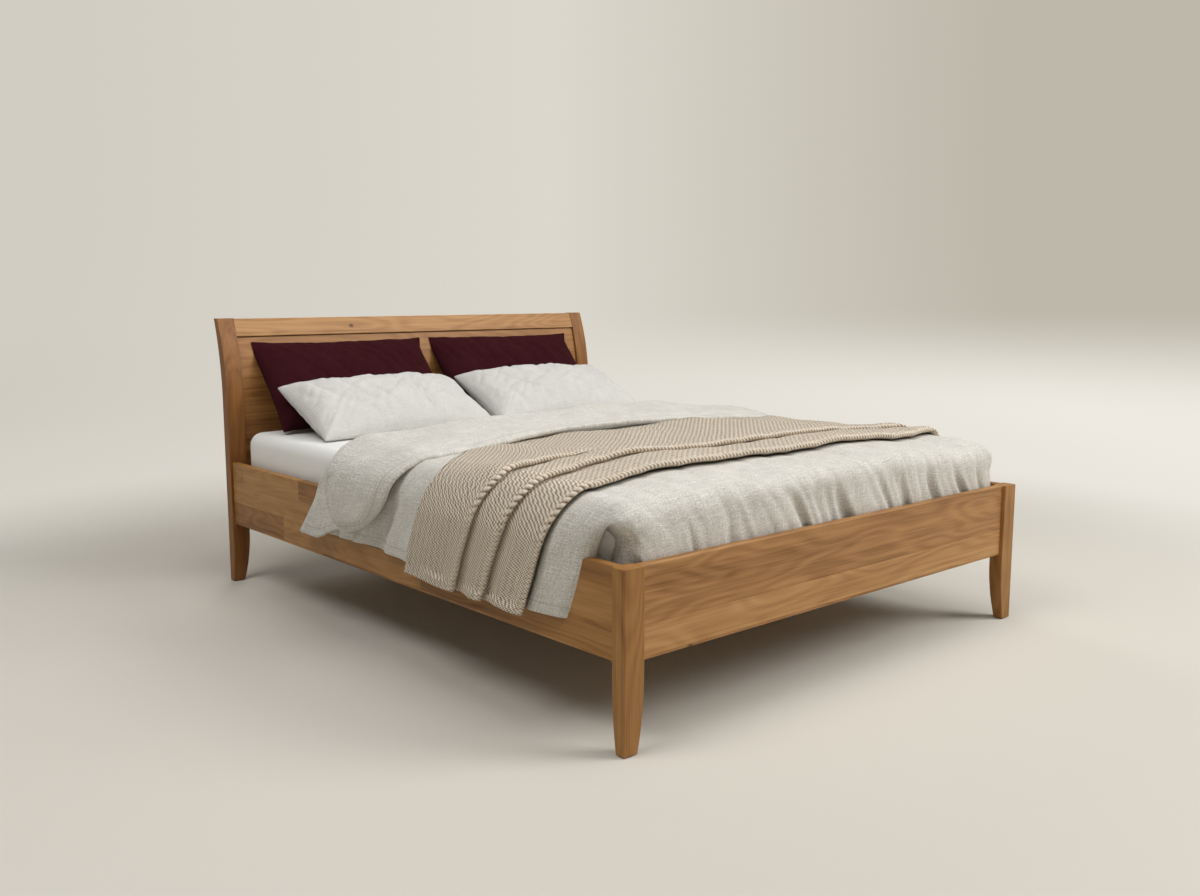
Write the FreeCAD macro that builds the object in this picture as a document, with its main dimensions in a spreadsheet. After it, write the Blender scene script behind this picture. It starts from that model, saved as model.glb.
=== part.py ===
import FreeCAD, Part
import math
import os
import re

import Sketcher

Vector = FreeCAD.Vector

# Driving sizes, in millimetres and degrees. Everything else follows from them.
SIZES = {
    # mattress and the room around it
    "mattress_width": 1600,
    "mattress_length": 2000,
    "mattress_thickness": 200,
    "mattress_corner": 70,
    "mattress_round": 42,
    "mattress_base_bevel": 25,
    "mattress_side_gap": 10,
    "mattress_end_gap": 18,
    # boards of the frame
    "rail_height": 222,
    "rail_thickness": 27,
    "rail_recess": 9,
    "rail_top": 436,
    "foot_panel_recess": 10,
    "board_round": 3,
    # posts and their tapered legs
    "post_width": 62,
    "foot_post_depth": 43,
    "head_post_depth": 40,
    "taper_height": 185,
    "leg_foot_width": 42,
    "leg_foot_depth": 30,
    "post_bevel": 1.5,
    # headboard with its backward curve
    "head_height": 948,
    "front_lean_start": 640,
    "front_lean": 60,
    "back_lean_start": 660,
    "back_lean": 46,
    "top_rail_height": 64,
    "top_rail_recess": 2,
    "top_rail_drop": 1.5,
    "head_panel_recess": 9,
    "head_panel_thickness": 18,
    "shadow_gap": 3,
    "bottom_rail_height": 116,
    # dowels
    "dowel_diameter": 10,
    "dowel_length": 60,
    "dowel_clearance": 0.1,
    "dowel_end_clearance": 1,
    # hook-in fittings between rails and posts
    "fitting_width": 18,
    "fitting_height": 130,
    "fitting_thickness": 3,
    "hook_thickness": 4,
    "hook_height": 20,
    "hook_reach": 9,
    "hook_lip": 8,
    "hook_spacing": 70,
    "fitting_clearance": 0.5,
    # slatted base
    "slat_width": 80,
    "slat_thickness": 20,
    "slat_bevel": 3,
    "slat_end_gap": 4,
    "slat_margin": 12,
    "ledge_width": 30,
    "ledge_height": 40,
    "tape_width": 30,
    "tape_thickness": 1.2,
    # centre beam, its hangers and legs
    "beam_width": 45,
    "beam_height": 60,
    "beam_end_gap": 1,
    "hanger_thickness": 2.5,
    "hanger_depth": 45,
    "hanger_flange": 22,
    "beam_round": 4,
    "centre_leg_diameter": 45,
    "bolt_diameter": 8,
    "bolt_length": 70,
    # glides
    "glide_thickness": 3,
    "glide_inset": 4,
    # cutters reach this far past the wood
    "overrun": 6,
    # duvet
    "duvet_loft": 40,
    "duvet_drop_loft": 24,
    "duvet_drop_clearance": 1,
    "duvet_inner_round": 50,
    "duvet_outer_round": 95,
    "duvet_hem_height": 275,
    "duvet_flap_length": 470,
    "duvet_flap_loft": 38,
    "duvet_head_flare": 205,
    "duvet_tuck_depth": 150,
    "duvet_tuck_loft": 20,
    "duvet_tuck_side": 40,
    # throw
    "throw_hem_height": 288,
    "throw_flap_gap": 10,
    "throw_length": 590,
    "throw_layer": 9,
    "throw_clearance": 0.5,
    # pillows
    "back_pillow_width": 730,
    "back_pillow_height": 400,
    "back_pillow_loft": 130,
    "back_pillow_middle_gap": 24,
    "front_pillow_width": 725,
    "front_pillow_height": 360,
    "front_pillow_loft": 165,
    "front_pillow_lean": 25,
    "front_pillow_middle_gap": 20,
    "front_pillow_place": 505,
    "pillow_seam": 10,
    "pillow_draw": 16,
    "pillow_press": 4,
    "soft_clearance": 0.3,
}

# Counts and shares.
SLAT_COUNT = 15
DOWEL_SIDE_COUNT = 12
DUVET_FOLD_SHARE = 0.6045
BACK_PILLOW_RISE_SHARE = 0.903
BACK_PILLOW_STEEP_SHARE = 0.85
CENTRE_LEG_SHARES = (0.3, 0.7)
TAPE_SHARE = 0.55

# Places that follow from the sizes, as expressions of them.
PLACES = {
    "half_width": "mattress_width / 2 + mattress_side_gap + rail_thickness + rail_recess",
    "rail_length": "mattress_length + 2 * mattress_end_gap",
    "floor_length": "rail_length + foot_post_depth + head_post_depth",
    "foot_face": "-(floor_length + back_lean) / 2",
    "rail_start": "foot_face + foot_post_depth",
    "rail_end": "rail_start + rail_length",
    "rail_bottom": "rail_top - rail_height",
    "rail_inner": "half_width - rail_recess - rail_thickness",
    "rail_outer": "half_width - rail_recess",
    "post_inner": "half_width - post_width",
    "foot_panel_inner": "foot_face + foot_panel_recess + rail_thickness",
    "post_height": "rail_top - glide_thickness",
    "leg_taper": "taper_height - glide_thickness",
    "mattress_start": "rail_start + mattress_end_gap",
    "slat_top": "rail_bottom + ledge_rise + ledge_height + slat_thickness",
    "ledge_rise": "rail_height / 2 - ledge_height",
    "slat_bottom": "slat_top - slat_thickness",
    "mattress_top": "slat_top + mattress_thickness",
    # the curve of the headboard: two arcs that start upright
    "front_rise": "head_height - front_lean_start",
    "back_rise": "head_height - back_lean_start",
    "front_radius": "(front_rise ^ 2 + front_lean ^ 2) / (2 * front_lean)",
    "back_radius": "(back_rise ^ 2 + back_lean ^ 2) / (2 * back_lean)",
    "top_rail_top": "head_height - top_rail_drop",
    "top_rail_bottom": "top_rail_top - top_rail_height",
    "head_panel_top": "top_rail_bottom - shadow_gap",
    "head_panel_bottom": "rail_bottom + bottom_rail_height",
    "fitting_centre": "half_width - rail_recess - rail_thickness / 2",
    "fitting_bottom": "rail_bottom + (rail_height - fitting_height) / 2",
    "beam_bottom": "slat_bottom - beam_height",
    "beam_start": "foot_panel_inner + hanger_thickness + beam_end_gap",
    "head_rail_front": "rail_end + head_panel_recess",
    "beam_finish": "head_rail_front - hanger_thickness - beam_end_gap",
    "centre_leg_length": "beam_bottom - glide_thickness",
    "duvet_start": "foot_panel_inner + duvet_drop_clearance",
    "duvet_fold": f"mattress_start + mattress_length * {DUVET_FOLD_SHARE}",
    "duvet_fold_place": "(duvet_fold - foot_face)",
    "throw_start": "duvet_fold - duvet_flap_length - throw_flap_gap - throw_length",
    "duvet_top": "mattress_top + duvet_loft",
    "duvet_inner": "rail_outer + duvet_drop_clearance",
    "duvet_outer": "duvet_inner + duvet_drop_loft",
    "pillow_seat": "mattress_top + soft_clearance",
    # the back pillows lean with their upper edge on the head panel
    "panel_rise": "head_panel_top - pillow_seat",
    "back_pillow_rise": (
        f"min(panel_rise * {BACK_PILLOW_RISE_SHARE}; back_pillow_height * {BACK_PILLOW_STEEP_SHARE})"
    ),
    "back_pillow_run": "sqrt(back_pillow_height ^ 2 - back_pillow_rise ^ 2)",
    "back_pillow_lean": "asin(back_pillow_rise / back_pillow_height)",
}

doc = FreeCAD.newDocument("bed")
sheet = doc.addObject("Spreadsheet::Sheet", "Sizes")
for row, (alias, size) in enumerate(SIZES.items(), start=1):
    sheet.set(f"A{row}", str(size))
    sheet.setAlias(f"A{row}", alias)
doc.recompute()

parts = []


def expand(text):
    """Turn an expression of named sizes and places into one that the document understands."""

    def known(match):
        name = match.group(0)
        if name in PLACES:
            return "(" + expand(PLACES[name]) + ")"
        return "Sizes." + name if name in SIZES else name

    return re.sub(r"[a-z_][a-z_0-9]*", known, str(text))


def number(text):
    found = sheet.evalExpression(expand(text))
    return float(getattr(found, "Value", found))


def bind(thing, **sizes):
    for name, text in sizes.items():
        thing.setExpression(name, expand(text))


def place(thing, x="0", y="0", z="0"):
    for axis, text in zip("xyz", (x, y, z)):
        if text != "0":
            thing.setExpression(f"Placement.Base.{axis}", expand(text))


def node(thing, label):
    thing.Label = label
    parts.append(thing)
    return thing


def plane_of(body, role):
    return next(f for f in body.Origin.OriginFeatures if f.Role == role)


def arc_between(first, second, radius, side):
    """An arc from first to second whose centre lies to the left (side 1) or right (side -1)."""
    chord = second - first
    half = chord.Length / 2
    normal = Vector(-chord.y, chord.x, 0).normalize()
    centre = (first + second) / 2 + normal * side * math.sqrt(max(radius**2 - half**2, 0))
    circle = Part.Circle(centre, Vector(0, 0, 1), radius)
    start, end = (first, second) if side > 0 else (second, first)
    angles = [math.atan2(p.y - centre.y, p.x - centre.x) for p in (start, end)]
    return Part.ArcOfCircle(circle, *angles)


def outline(body, name, plane, corners, arcs=None, lift=None, closed=True):
    """A sketch through corners, each held by two bound distances; arcs maps an edge to (radius, side)."""
    arcs = arcs or {}
    sketch = body.newObject("Sketcher::SketchObject", name)
    sketch.AttachmentSupport = [(plane_of(body, plane), "")]
    sketch.MapMode = "FlatFace"
    if lift:
        sketch.setExpression("AttachmentOffset.Base.z", expand(lift))
    points = [Vector(number(u), number(v), 0) for u, v in corners]
    count = len(points) if closed else len(points) - 1
    ends = []
    for i in range(count):
        first, second = points[i], points[(i + 1) % len(points)]
        if i in arcs:
            radius, side = arcs[i]
            edge = arc_between(first, second, number(radius), side)
            ends.append((1, 2) if side > 0 else (2, 1))
        else:
            edge = Part.LineSegment(first, second)
            ends.append((1, 2))
        sketch.addGeometry(edge, False)
    for i in range(count if closed else count - 1):
        following = (i + 1) % count
        joint = Sketcher.Constraint("Coincident", i, ends[i][1], following, ends[following][0])
        sketch.addConstraint(joint)
    for i, (u, v) in enumerate(corners):
        edge, end = (i, ends[i][0]) if i < count else (i - 1, ends[i - 1][1])
        for kind, axis, text, at in (("DistanceX", -2, u, points[i].x), ("DistanceY", -1, v, points[i].y)):
            if text == "0":
                sketch.addConstraint(Sketcher.Constraint("PointOnObject", edge, end, axis))
                continue
            held = sketch.addConstraint(Sketcher.Constraint(kind, -1, 1, edge, end, at))
            sketch.setExpression(f"Constraints[{held}]", expand(text))
    for i, (radius, side) in arcs.items():
        held = sketch.addConstraint(Sketcher.Constraint("Radius", i, number(radius)))
        sketch.setExpression(f"Constraints[{held}]", expand(radius))
    return sketch


def pad(body, sketch, length, reverse=False, middle=False):
    feature = body.newObject("PartDesign::Pad", "Pad")
    feature.Profile = sketch
    feature.Reversed = reverse
    feature.Midplane = middle
    bind(feature, Length=length)
    return feature


def pocket(body, sketch, length):
    """Cut the sketch out of the body over a length to both sides of its plane."""
    feature = body.newObject("PartDesign::Pocket", "Pocket")
    feature.Profile = sketch
    feature.Midplane = True
    bind(feature, Length=f"2 * ({length})")
    return feature


def edge_names(feature, wanted):
    doc.recompute()
    return [f"Edge{i}" for i, edge in enumerate(feature.Shape.Edges, start=1) if wanted(edge)]


def round_edges(body, feature, radius, wanted):
    """Round those edges of the feature that wanted picks out."""
    rounded = body.newObject("PartDesign::Fillet", "Fillet")
    rounded.Base = (feature, edge_names(feature, wanted))
    bind(rounded, Radius=radius)
    return rounded


def bevel_edges(body, feature, size, wanted):
    """Bevel those edges of the feature that wanted picks out."""
    bevelled = body.newObject("PartDesign::Chamfer", "Chamfer")
    bevelled.Base = (feature, edge_names(feature, wanted))
    bind(bevelled, Size=size)
    return bevelled


def rounded_rectangle(width, height, radius):
    """Corners and arcs of a rectangle from the origin with rounded corners."""
    corners = [
        (radius, "0"),
        (f"{width} - {radius}", "0"),
        (width, radius),
        (width, f"{height} - {radius}"),
        (f"{width} - {radius}", height),
        (radius, height),
        ("0", f"{height} - {radius}"),
        ("0", radius),
    ]
    return corners, {edge: (radius, 1) for edge in range(1, len(corners), 2)}


def board(name, along, width, height, length, easing="board_round", bevelled=False):
    """A straight board along X or Y, its long edges rounded or bevelled."""
    body = doc.addObject("PartDesign::Body", name)
    corners, arcs = rounded_rectangle(f"({width})", f"({height})", easing)
    plane = {"X": "YZ_Plane", "Y": "XZ_Plane"}[along]
    section = outline(body, "Section", plane, corners, None if bevelled else arcs)
    pad(body, section, length, reverse=along == "Y")
    return body


def box(name, length, width, height):
    solid = doc.addObject("Part::Box", name)
    bind(solid, Length=length, Width=width, Height=height)
    return solid


def rod(name, axis, radius, length):
    """A round rod along an axis from its own origin."""
    solid = doc.addObject("Part::Cylinder", name)
    bind(solid, Radius=radius, Height=length)
    turn = {
        "X": FreeCAD.Rotation(Vector(0, 1, 0), 90),
        "Y": FreeCAD.Rotation(Vector(1, 0, 0), -90),
        "Z": FreeCAD.Rotation(),
    }[axis]
    solid.Placement = FreeCAD.Placement(Vector(), turn)
    return solid


def peg(name, radius, length):
    """A fluted dowel along X from its own origin, its flutes drawn as flats."""
    solid = doc.addObject("Part::Prism", name)
    solid.Polygon = DOWEL_SIDE_COUNT
    bind(solid, Circumradius=radius, Height=length)
    solid.Placement = FreeCAD.Placement(Vector(), FreeCAD.Rotation(Vector(0, 1, 0), 90))
    return solid


def group(name, solids):
    several = doc.addObject("Part::Compound", name)
    several.Links = solids
    return several


def cut(name, base, tools):
    result = doc.addObject("Part::Cut", name)
    result.Base = base
    result.Tool = tools[0] if len(tools) == 1 else group(name + "_tools", tools)
    return result


def mirrored(name, source, axis=Vector(1, 0, 0), at=None):
    """The same piece on the other side; at is the place of the mirror along Y."""
    other = doc.addObject("Part::Mirroring", name)
    other.Source = source
    other.Normal = axis
    if at:
        other.setExpression("Base.y", expand(at))
    return other


MIDDLE_OF_RAIL = "rail_start + rail_length / 2"
LENGTHWISE = Vector(0, 1, 0)


# Glued dowels: each entry is the piece's end, its place along Y, and its height.
def dowel_set(name, places):
    dowels, holes = [], []
    for index, (y, z) in enumerate(places):
        dowel = peg(f"{name}_{index}", "dowel_diameter / 2", "dowel_length")
        place(dowel, "-post_inner - dowel_length / 2", y, z)
        dowels.append(dowel)
        hole = peg(
            f"{name}_hole_{index}",
            "dowel_diameter / 2 + dowel_clearance",
            "dowel_length + 2 * dowel_end_clearance",
        )
        place(hole, "-post_inner - dowel_length / 2 - dowel_end_clearance", y, z)
        holes.append(hole)
    holes = group(f"{name}_holes", holes)
    return dowels, holes, mirrored(f"{name}_holes_right", holes)


def dowel_group(label, sets):
    left = [dowel for dowels in sets for dowel in dowels]
    right = [mirrored(dowel.Name + "_right", dowel) for dowel in left]
    node(group(label, left + right), label)


FOOT_DOWEL_SHARES = (0.12, 0.37, 0.63, 0.88)
foot_dowel_y = "foot_face + foot_panel_recess + rail_thickness / 2"
foot_dowels, foot_holes, foot_holes_right = dowel_set(
    "foot_dowel",
    [(foot_dowel_y, f"rail_bottom + rail_height * {share}") for share in FOOT_DOWEL_SHARES],
)


def front_curve(height, inset):
    """Place along Y of the headboard's front curve, moved back by inset, at a height on the curve."""
    return (
        f"rail_end + front_radius - sqrt((front_radius - {inset}) ^ 2"
        f" - ({height} - front_lean_start) ^ 2)"
    )


def back_curve(height, inset):
    """Place along Y of the posts' back curve, moved forward by inset, at a height on the curve."""
    return (
        f"rail_end + head_post_depth + back_radius - sqrt((back_radius + {inset}) ^ 2"
        f" - ({height} - back_lean_start) ^ 2)"
    )


def panel_middle(height):
    """Middle of the head panel's thickness at a height on the curve."""
    return front_curve(height, "(head_panel_recess + head_panel_thickness / 2)")


TOP_RAIL_DOWEL_SHARES = (0.3, 0.7)
PANEL_DOWEL_SHARES = (0.1, 0.4)
PANEL_UPPER_DOWEL_SHARE = 0.85
BOTTOM_RAIL_DOWEL_SHARES = (0.25, 0.75)
head_dowel_places = []
for share in TOP_RAIL_DOWEL_SHARES:
    at = f"(top_rail_bottom + top_rail_height * {share})"
    front, back = front_curve(at, "top_rail_recess"), back_curve(at, "top_rail_recess")
    head_dowel_places.append((f"(({front}) + ({back})) / 2", at))
for share in PANEL_DOWEL_SHARES:
    at = f"head_panel_bottom + (front_lean_start - head_panel_bottom) * {share}"
    head_dowel_places.append(("rail_end + head_panel_recess + head_panel_thickness / 2", at))
upper = f"(front_lean_start + (head_panel_top - front_lean_start) * {PANEL_UPPER_DOWEL_SHARE})"
head_dowel_places.append((panel_middle(upper), upper))
for share in BOTTOM_RAIL_DOWEL_SHARES:
    at = f"rail_bottom + bottom_rail_height * {share}"
    head_dowel_places.append(("rail_end + head_panel_recess + rail_thickness / 2", at))
head_dowels, head_holes, head_holes_right = dowel_set("head_dowel", head_dowel_places)


# Hook-in fittings, made at the left foot corner and mirrored to the other three.
SLOT_SHARE = 0.5


def hook_fitting():
    plate = box("hook_plate_body", "fitting_width", "fitting_thickness", "fitting_height")
    place(plate, "-fitting_centre - fitting_width / 2", "rail_start", "fitting_bottom")
    hooks = []
    for index, side in enumerate((-1, 1)):
        body = doc.addObject("PartDesign::Body", f"hook_{index}")
        reach = "fitting_thickness + fitting_clearance + hook_reach"
        lip = "fitting_thickness + fitting_clearance"
        corners = [
            ("0", "0"),
            ("0", "hook_height"),
            (f"-({reach}) + hook_reach / 2", "hook_height"),
            (f"-({reach})", "hook_height - hook_reach / 2"),
            (f"-({reach})", "-hook_lip"),
            (f"-({lip})", "-hook_lip"),
            (f"-({lip})", "0"),
        ]
        section = outline(body, "Hook", "YZ_Plane", corners, {2: ("hook_reach / 2", 1)})
        pad(body, section, "hook_thickness", middle=True)
        middle = "fitting_bottom + fitting_height / 2 - hook_height / 2"
        place(body, "-fitting_centre", "rail_start", f"{middle} + {side} * hook_spacing / 2")
        hooks.append(body)
    whole = doc.addObject("Part::MultiFuse", "hook_plate")
    whole.Shapes = [plate] + hooks
    return whole


def slot_fitting():
    plate = box("slot_plate_body", "fitting_width", "fitting_thickness", "fitting_height")
    place(plate, "-fitting_centre - fitting_width / 2", "rail_start - fitting_thickness", "fitting_bottom")
    slots = []
    for index, side in enumerate((-1, 1)):
        slot = box(
            f"slot_{index}",
            "hook_thickness + 2 * fitting_clearance",
            "fitting_thickness + 2 * overrun",
            "hook_height + hook_lip + 2 * fitting_clearance",
        )
        middle = "fitting_bottom + fitting_height / 2 - hook_height / 2"
        place(
            slot,
            "-fitting_centre - hook_thickness / 2 - fitting_clearance",
            "rail_start - fitting_thickness - overrun",
            f"{middle} + {side} * hook_spacing / 2 - fitting_clearance * {SLOT_SHARE}",
        )
        slots.append(slot)
    return cut("slot_plate", plate, slots)


def fitting_recesses():
    """Room in the post for the slot plate and the hooks behind it, and in the rail end for the hook plate."""
    inset = box(
        "slot_plate_room",
        "fitting_width + 2 * fitting_clearance",
        "fitting_thickness + overrun",
        "fitting_height + 2 * fitting_clearance",
    )
    place(
        inset,
        "-fitting_centre - fitting_width / 2 - fitting_clearance",
        "rail_start - fitting_thickness",
        "fitting_bottom - fitting_clearance",
    )
    deep = box(
        "hook_room",
        "hook_thickness + 4 * fitting_clearance",
        "hook_reach + 2 * fitting_clearance + overrun",
        "hook_spacing + hook_height + 2 * hook_lip + 4 * fitting_clearance",
    )
    place(
        deep,
        "-fitting_centre - hook_thickness / 2 - 2 * fitting_clearance",
        "rail_start - fitting_thickness - hook_reach - 2 * fitting_clearance",
        "fitting_bottom + fitting_height / 2 - hook_spacing / 2 - hook_height / 2"
        " - hook_lip - 2 * fitting_clearance",
    )
    end = box(
        "hook_plate_room",
        "fitting_width + 2 * fitting_clearance",
        "fitting_thickness + overrun",
        "fitting_height + 2 * fitting_clearance",
    )
    place(
        end,
        "-fitting_centre - fitting_width / 2 - fitting_clearance",
        "rail_start - overrun",
        "fitting_bottom - fitting_clearance",
    )
    return group("post_recess", [inset, deep]), end


hook_plate = hook_fitting()
slot_plate = slot_fitting()
post_recess, rail_recess_foot = fitting_recesses()
post_recess_head = mirrored("post_recess_head", post_recess, LENGTHWISE, MIDDLE_OF_RAIL)
rail_recess_head = mirrored("rail_recess_head", rail_recess_foot, LENGTHWISE, MIDDLE_OF_RAIL)
for kind, fitting in (("hook_plate", hook_plate), ("slot_plate", slot_plate)):
    head = mirrored(f"{kind}_head", fitting, LENGTHWISE, MIDDLE_OF_RAIL)
    node(fitting, f"{kind}_foot_left")
    node(head, f"{kind}_head_left")
    node(mirrored(f"{kind}_foot_r", fitting), f"{kind}_foot_right")
    node(mirrored(f"{kind}_head_r", head), f"{kind}_head_right")


# Posts: outer faces straight, inner faces of the legs narrowing in a long curve to the floor.
def curve_radius(rise, run):
    return f"(({rise}) ^ 2 + ({run}) ^ 2) / (2 * ({run}))"


def is_long(edge):
    first, last = edge.Vertexes[0].Point, edge.Vertexes[-1].Point
    return abs(first.z - last.z) > 0.5 * max(edge.Length, 1)


def is_outer(edge, faces_in):
    """Long edges of a post, other than the one between its two inner faces."""
    room = edge.BoundBox
    return is_long(edge) and not (room.XMin > number("leg_foot_width") / 2 and faces_in(room))


def foot_post():
    body = doc.addObject("PartDesign::Body", "foot_post_body")
    narrowing = "post_width - leg_foot_width"
    front = outline(
        body,
        "FrontView",
        "XZ_Plane",
        [
            ("0", "0"),
            ("leg_foot_width", "0"),
            ("post_width", "leg_taper"),
            ("post_width", "post_height"),
            ("0", "post_height"),
        ],
        {1: (curve_radius("leg_taper", narrowing), 1)},
    )
    pad(body, front, "foot_post_depth", reverse=True)
    side = outline(
        body,
        "SideTaper",
        "YZ_Plane",
        [
            ("leg_foot_depth", "0"),
            ("foot_post_depth + overrun", "0"),
            ("foot_post_depth + overrun", "leg_taper"),
            ("foot_post_depth", "leg_taper"),
        ],
        {3: (curve_radius("leg_taper", "foot_post_depth - leg_foot_depth"), -1)},
    )
    tapered = pocket(body, side, "post_width + overrun")
    middle = number("leg_foot_depth") / 2
    bevel_edges(body, tapered, "post_bevel", lambda edge: is_outer(edge, lambda room: room.YMin > middle))
    place(body, "-half_width", "foot_face", "glide_thickness")
    return body


def head_post():
    body = doc.addObject("PartDesign::Body", "head_post_body")
    narrowing = "head_post_depth - leg_foot_depth"
    top = "head_height + overrun - glide_thickness"
    back_top = "head_post_depth + back_radius - sqrt(back_radius ^ 2 - (back_rise + overrun) ^ 2)"
    front_top = "front_radius - sqrt(front_radius ^ 2 - (front_rise + overrun) ^ 2)"
    side = outline(
        body,
        "SideView",
        "YZ_Plane",
        [
            (narrowing, "0"),
            ("head_post_depth", "0"),
            ("head_post_depth", "back_lean_start - glide_thickness"),
            (back_top, top),
            (front_top, top),
            ("0", "front_lean_start - glide_thickness"),
            ("0", "leg_taper"),
        ],
        {2: ("back_radius", -1), 4: ("front_radius", 1), 6: (curve_radius("leg_taper", narrowing), 1)},
    )
    pad(body, side, "post_width")
    inner = outline(
        body,
        "FrontTaper",
        "XZ_Plane",
        [
            ("leg_foot_width", "0"),
            ("post_width + overrun", "0"),
            ("post_width + overrun", "leg_taper"),
            ("post_width", "leg_taper"),
        ],
        {3: (curve_radius("leg_taper", "post_width - leg_foot_width"), -1)},
    )
    tapered = pocket(body, inner, "head_post_depth + back_lean + overrun")
    middle = number("head_post_depth") / 2
    bevel_edges(body, tapered, "post_bevel", lambda edge: is_outer(edge, lambda room: room.YMin < middle))
    above = outline(
        body,
        "TopCut",
        "XZ_Plane",
        [
            ("-overrun", "head_height - glide_thickness"),
            ("post_width + overrun", "head_height - glide_thickness"),
            ("post_width + overrun", "head_height + 2 * overrun"),
            ("-overrun", "head_height + 2 * overrun"),
        ],
    )
    pocket(body, above, "head_post_depth + 2 * back_lean + overrun")
    place(body, "-half_width", "rail_end", "glide_thickness")
    return body


for name, solid, holes in (
    ("foot_post", foot_post(), [foot_holes, post_recess]),
    ("head_post", head_post(), [head_holes, post_recess_head]),
):
    left = node(cut(f"{name}_l", solid, holes), f"{name}_left")
    node(mirrored(f"{name}_r", left), f"{name}_right")


# Headboard: top rail and panel follow the curve of the posts. The front of the panel stops short of the
# rail for a shadow line, and the back of it reaches the rail.
CROSS_LENGTH = "2 * post_inner"
PANEL_REBATE_SHARE = 0.5


def top_rail():
    body = doc.addObject("PartDesign::Body", "top_rail_body")
    low, high = "top_rail_bottom", "top_rail_top"
    inset = "top_rail_recess"
    section = outline(
        body,
        "Section",
        "YZ_Plane",
        [
            (front_curve(low, inset), low),
            (back_curve(low, inset), low),
            (back_curve(high, inset), high),
            (front_curve(high, inset), high),
        ],
        {1: (f"back_radius + {inset}", -1), 3: (f"front_radius - {inset}", 1)},
    )
    solid = pad(body, section, CROSS_LENGTH)
    round_edges(body, solid, "board_round", lambda edge: edge.BoundBox.XLength > edge.Length / 2)
    place(body, "-post_inner")
    return body


def head_panel():
    body = doc.addObject("PartDesign::Body", "head_panel_body")
    near, far = "head_panel_recess", "(head_panel_recess + head_panel_thickness)"
    step = f"(head_panel_recess + head_panel_thickness * {PANEL_REBATE_SHARE})"
    low, start, high, joint = "head_panel_bottom", "front_lean_start", "head_panel_top", "top_rail_bottom"
    section = outline(
        body,
        "Section",
        "YZ_Plane",
        [
            (f"rail_end + {near}", low),
            (f"rail_end + {far}", low),
            (f"rail_end + {far}", start),
            (front_curve(joint, far), joint),
            (front_curve(joint, step), joint),
            (front_curve(high, step), high),
            (front_curve(high, near), high),
            (f"rail_end + {near}", start),
        ],
        {2: (f"front_radius - {far}", -1), 6: (f"front_radius - {near}", 1)},
    )
    pad(body, section, CROSS_LENGTH)
    place(body, "-post_inner")
    return body


for label, solid in (("headboard_top_rail", top_rail()), ("headboard_panel", head_panel())):
    node(cut(label + "_cut", solid, [head_holes, head_holes_right]), label)

head_low = board("head_low_body", "X", "rail_thickness", "bottom_rail_height", CROSS_LENGTH)
place(head_low, "-post_inner", "rail_end + head_panel_recess", "rail_bottom")
foot_board = board("foot_board_body", "X", "rail_thickness", "rail_height", CROSS_LENGTH)
place(foot_board, "-post_inner", "foot_face + foot_panel_recess", "rail_bottom")
dowel_group("headboard_dowels", [head_dowels])
dowel_group("footboard_dowels", [foot_dowels])


# Side rails with their slat ledges.
rail = board("rail_body", "Y", "rail_thickness", "rail_height", "rail_length")
place(rail, "-rail_outer", "rail_start", "rail_bottom")
rail = cut("rail_l", rail, [rail_recess_foot, rail_recess_head])
ledge = board("ledge_body", "Y", "ledge_width", "ledge_height", "rail_length - 2 * slat_margin")
place(ledge, "-rail_inner", "rail_start + slat_margin", "slat_bottom - ledge_height")
for label, solid in (("side_rail", rail), ("slat_ledge", ledge)):
    node(solid, f"{label}_left")
    node(mirrored(f"{label}_r", solid), f"{label}_right")


# Centre beam in its hangers, on two round legs.
def hanger():
    """A folded steel cradle with two flanges, made for the foot end."""
    body = doc.addObject("PartDesign::Body", "hanger_body")
    outer = "(beam_width / 2 + hanger_thickness)"
    wing = f"({outer} + hanger_flange)"
    back = outline(
        body,
        "Back",
        "XZ_Plane",
        [
            (f"-{wing}", "0"),
            (wing, "0"),
            (wing, "beam_height"),
            (f"-{wing}", "beam_height"),
        ],
    )
    pad(body, back, "hanger_thickness", reverse=True)
    cradle = outline(
        body,
        "Cradle",
        "XZ_Plane",
        [
            (f"-{outer}", "-hanger_thickness"),
            (outer, "-hanger_thickness"),
            (outer, "beam_height"),
            ("beam_width / 2", "beam_height"),
            ("beam_width / 2", "0"),
            ("-beam_width / 2", "0"),
            ("-beam_width / 2", "beam_height"),
            (f"-{outer}", "beam_height"),
        ],
    )
    pad(body, cradle, "hanger_depth", reverse=True)
    place(body, "0", "foot_panel_inner", "beam_bottom")
    return body


MIDDLE_OF_BEAM = "(foot_panel_inner + head_rail_front) / 2"
foot_hanger = node(hanger(), "beam_hanger_foot")
node(mirrored("hanger_head", foot_hanger, LENGTHWISE, MIDDLE_OF_BEAM), "beam_hanger_head")
node(cut("foot_board_cut", foot_board, [foot_holes, foot_holes_right]), "footboard_panel")
node(cut("head_low_cut", head_low, [head_holes, head_holes_right]), "headboard_bottom_rail")


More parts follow.
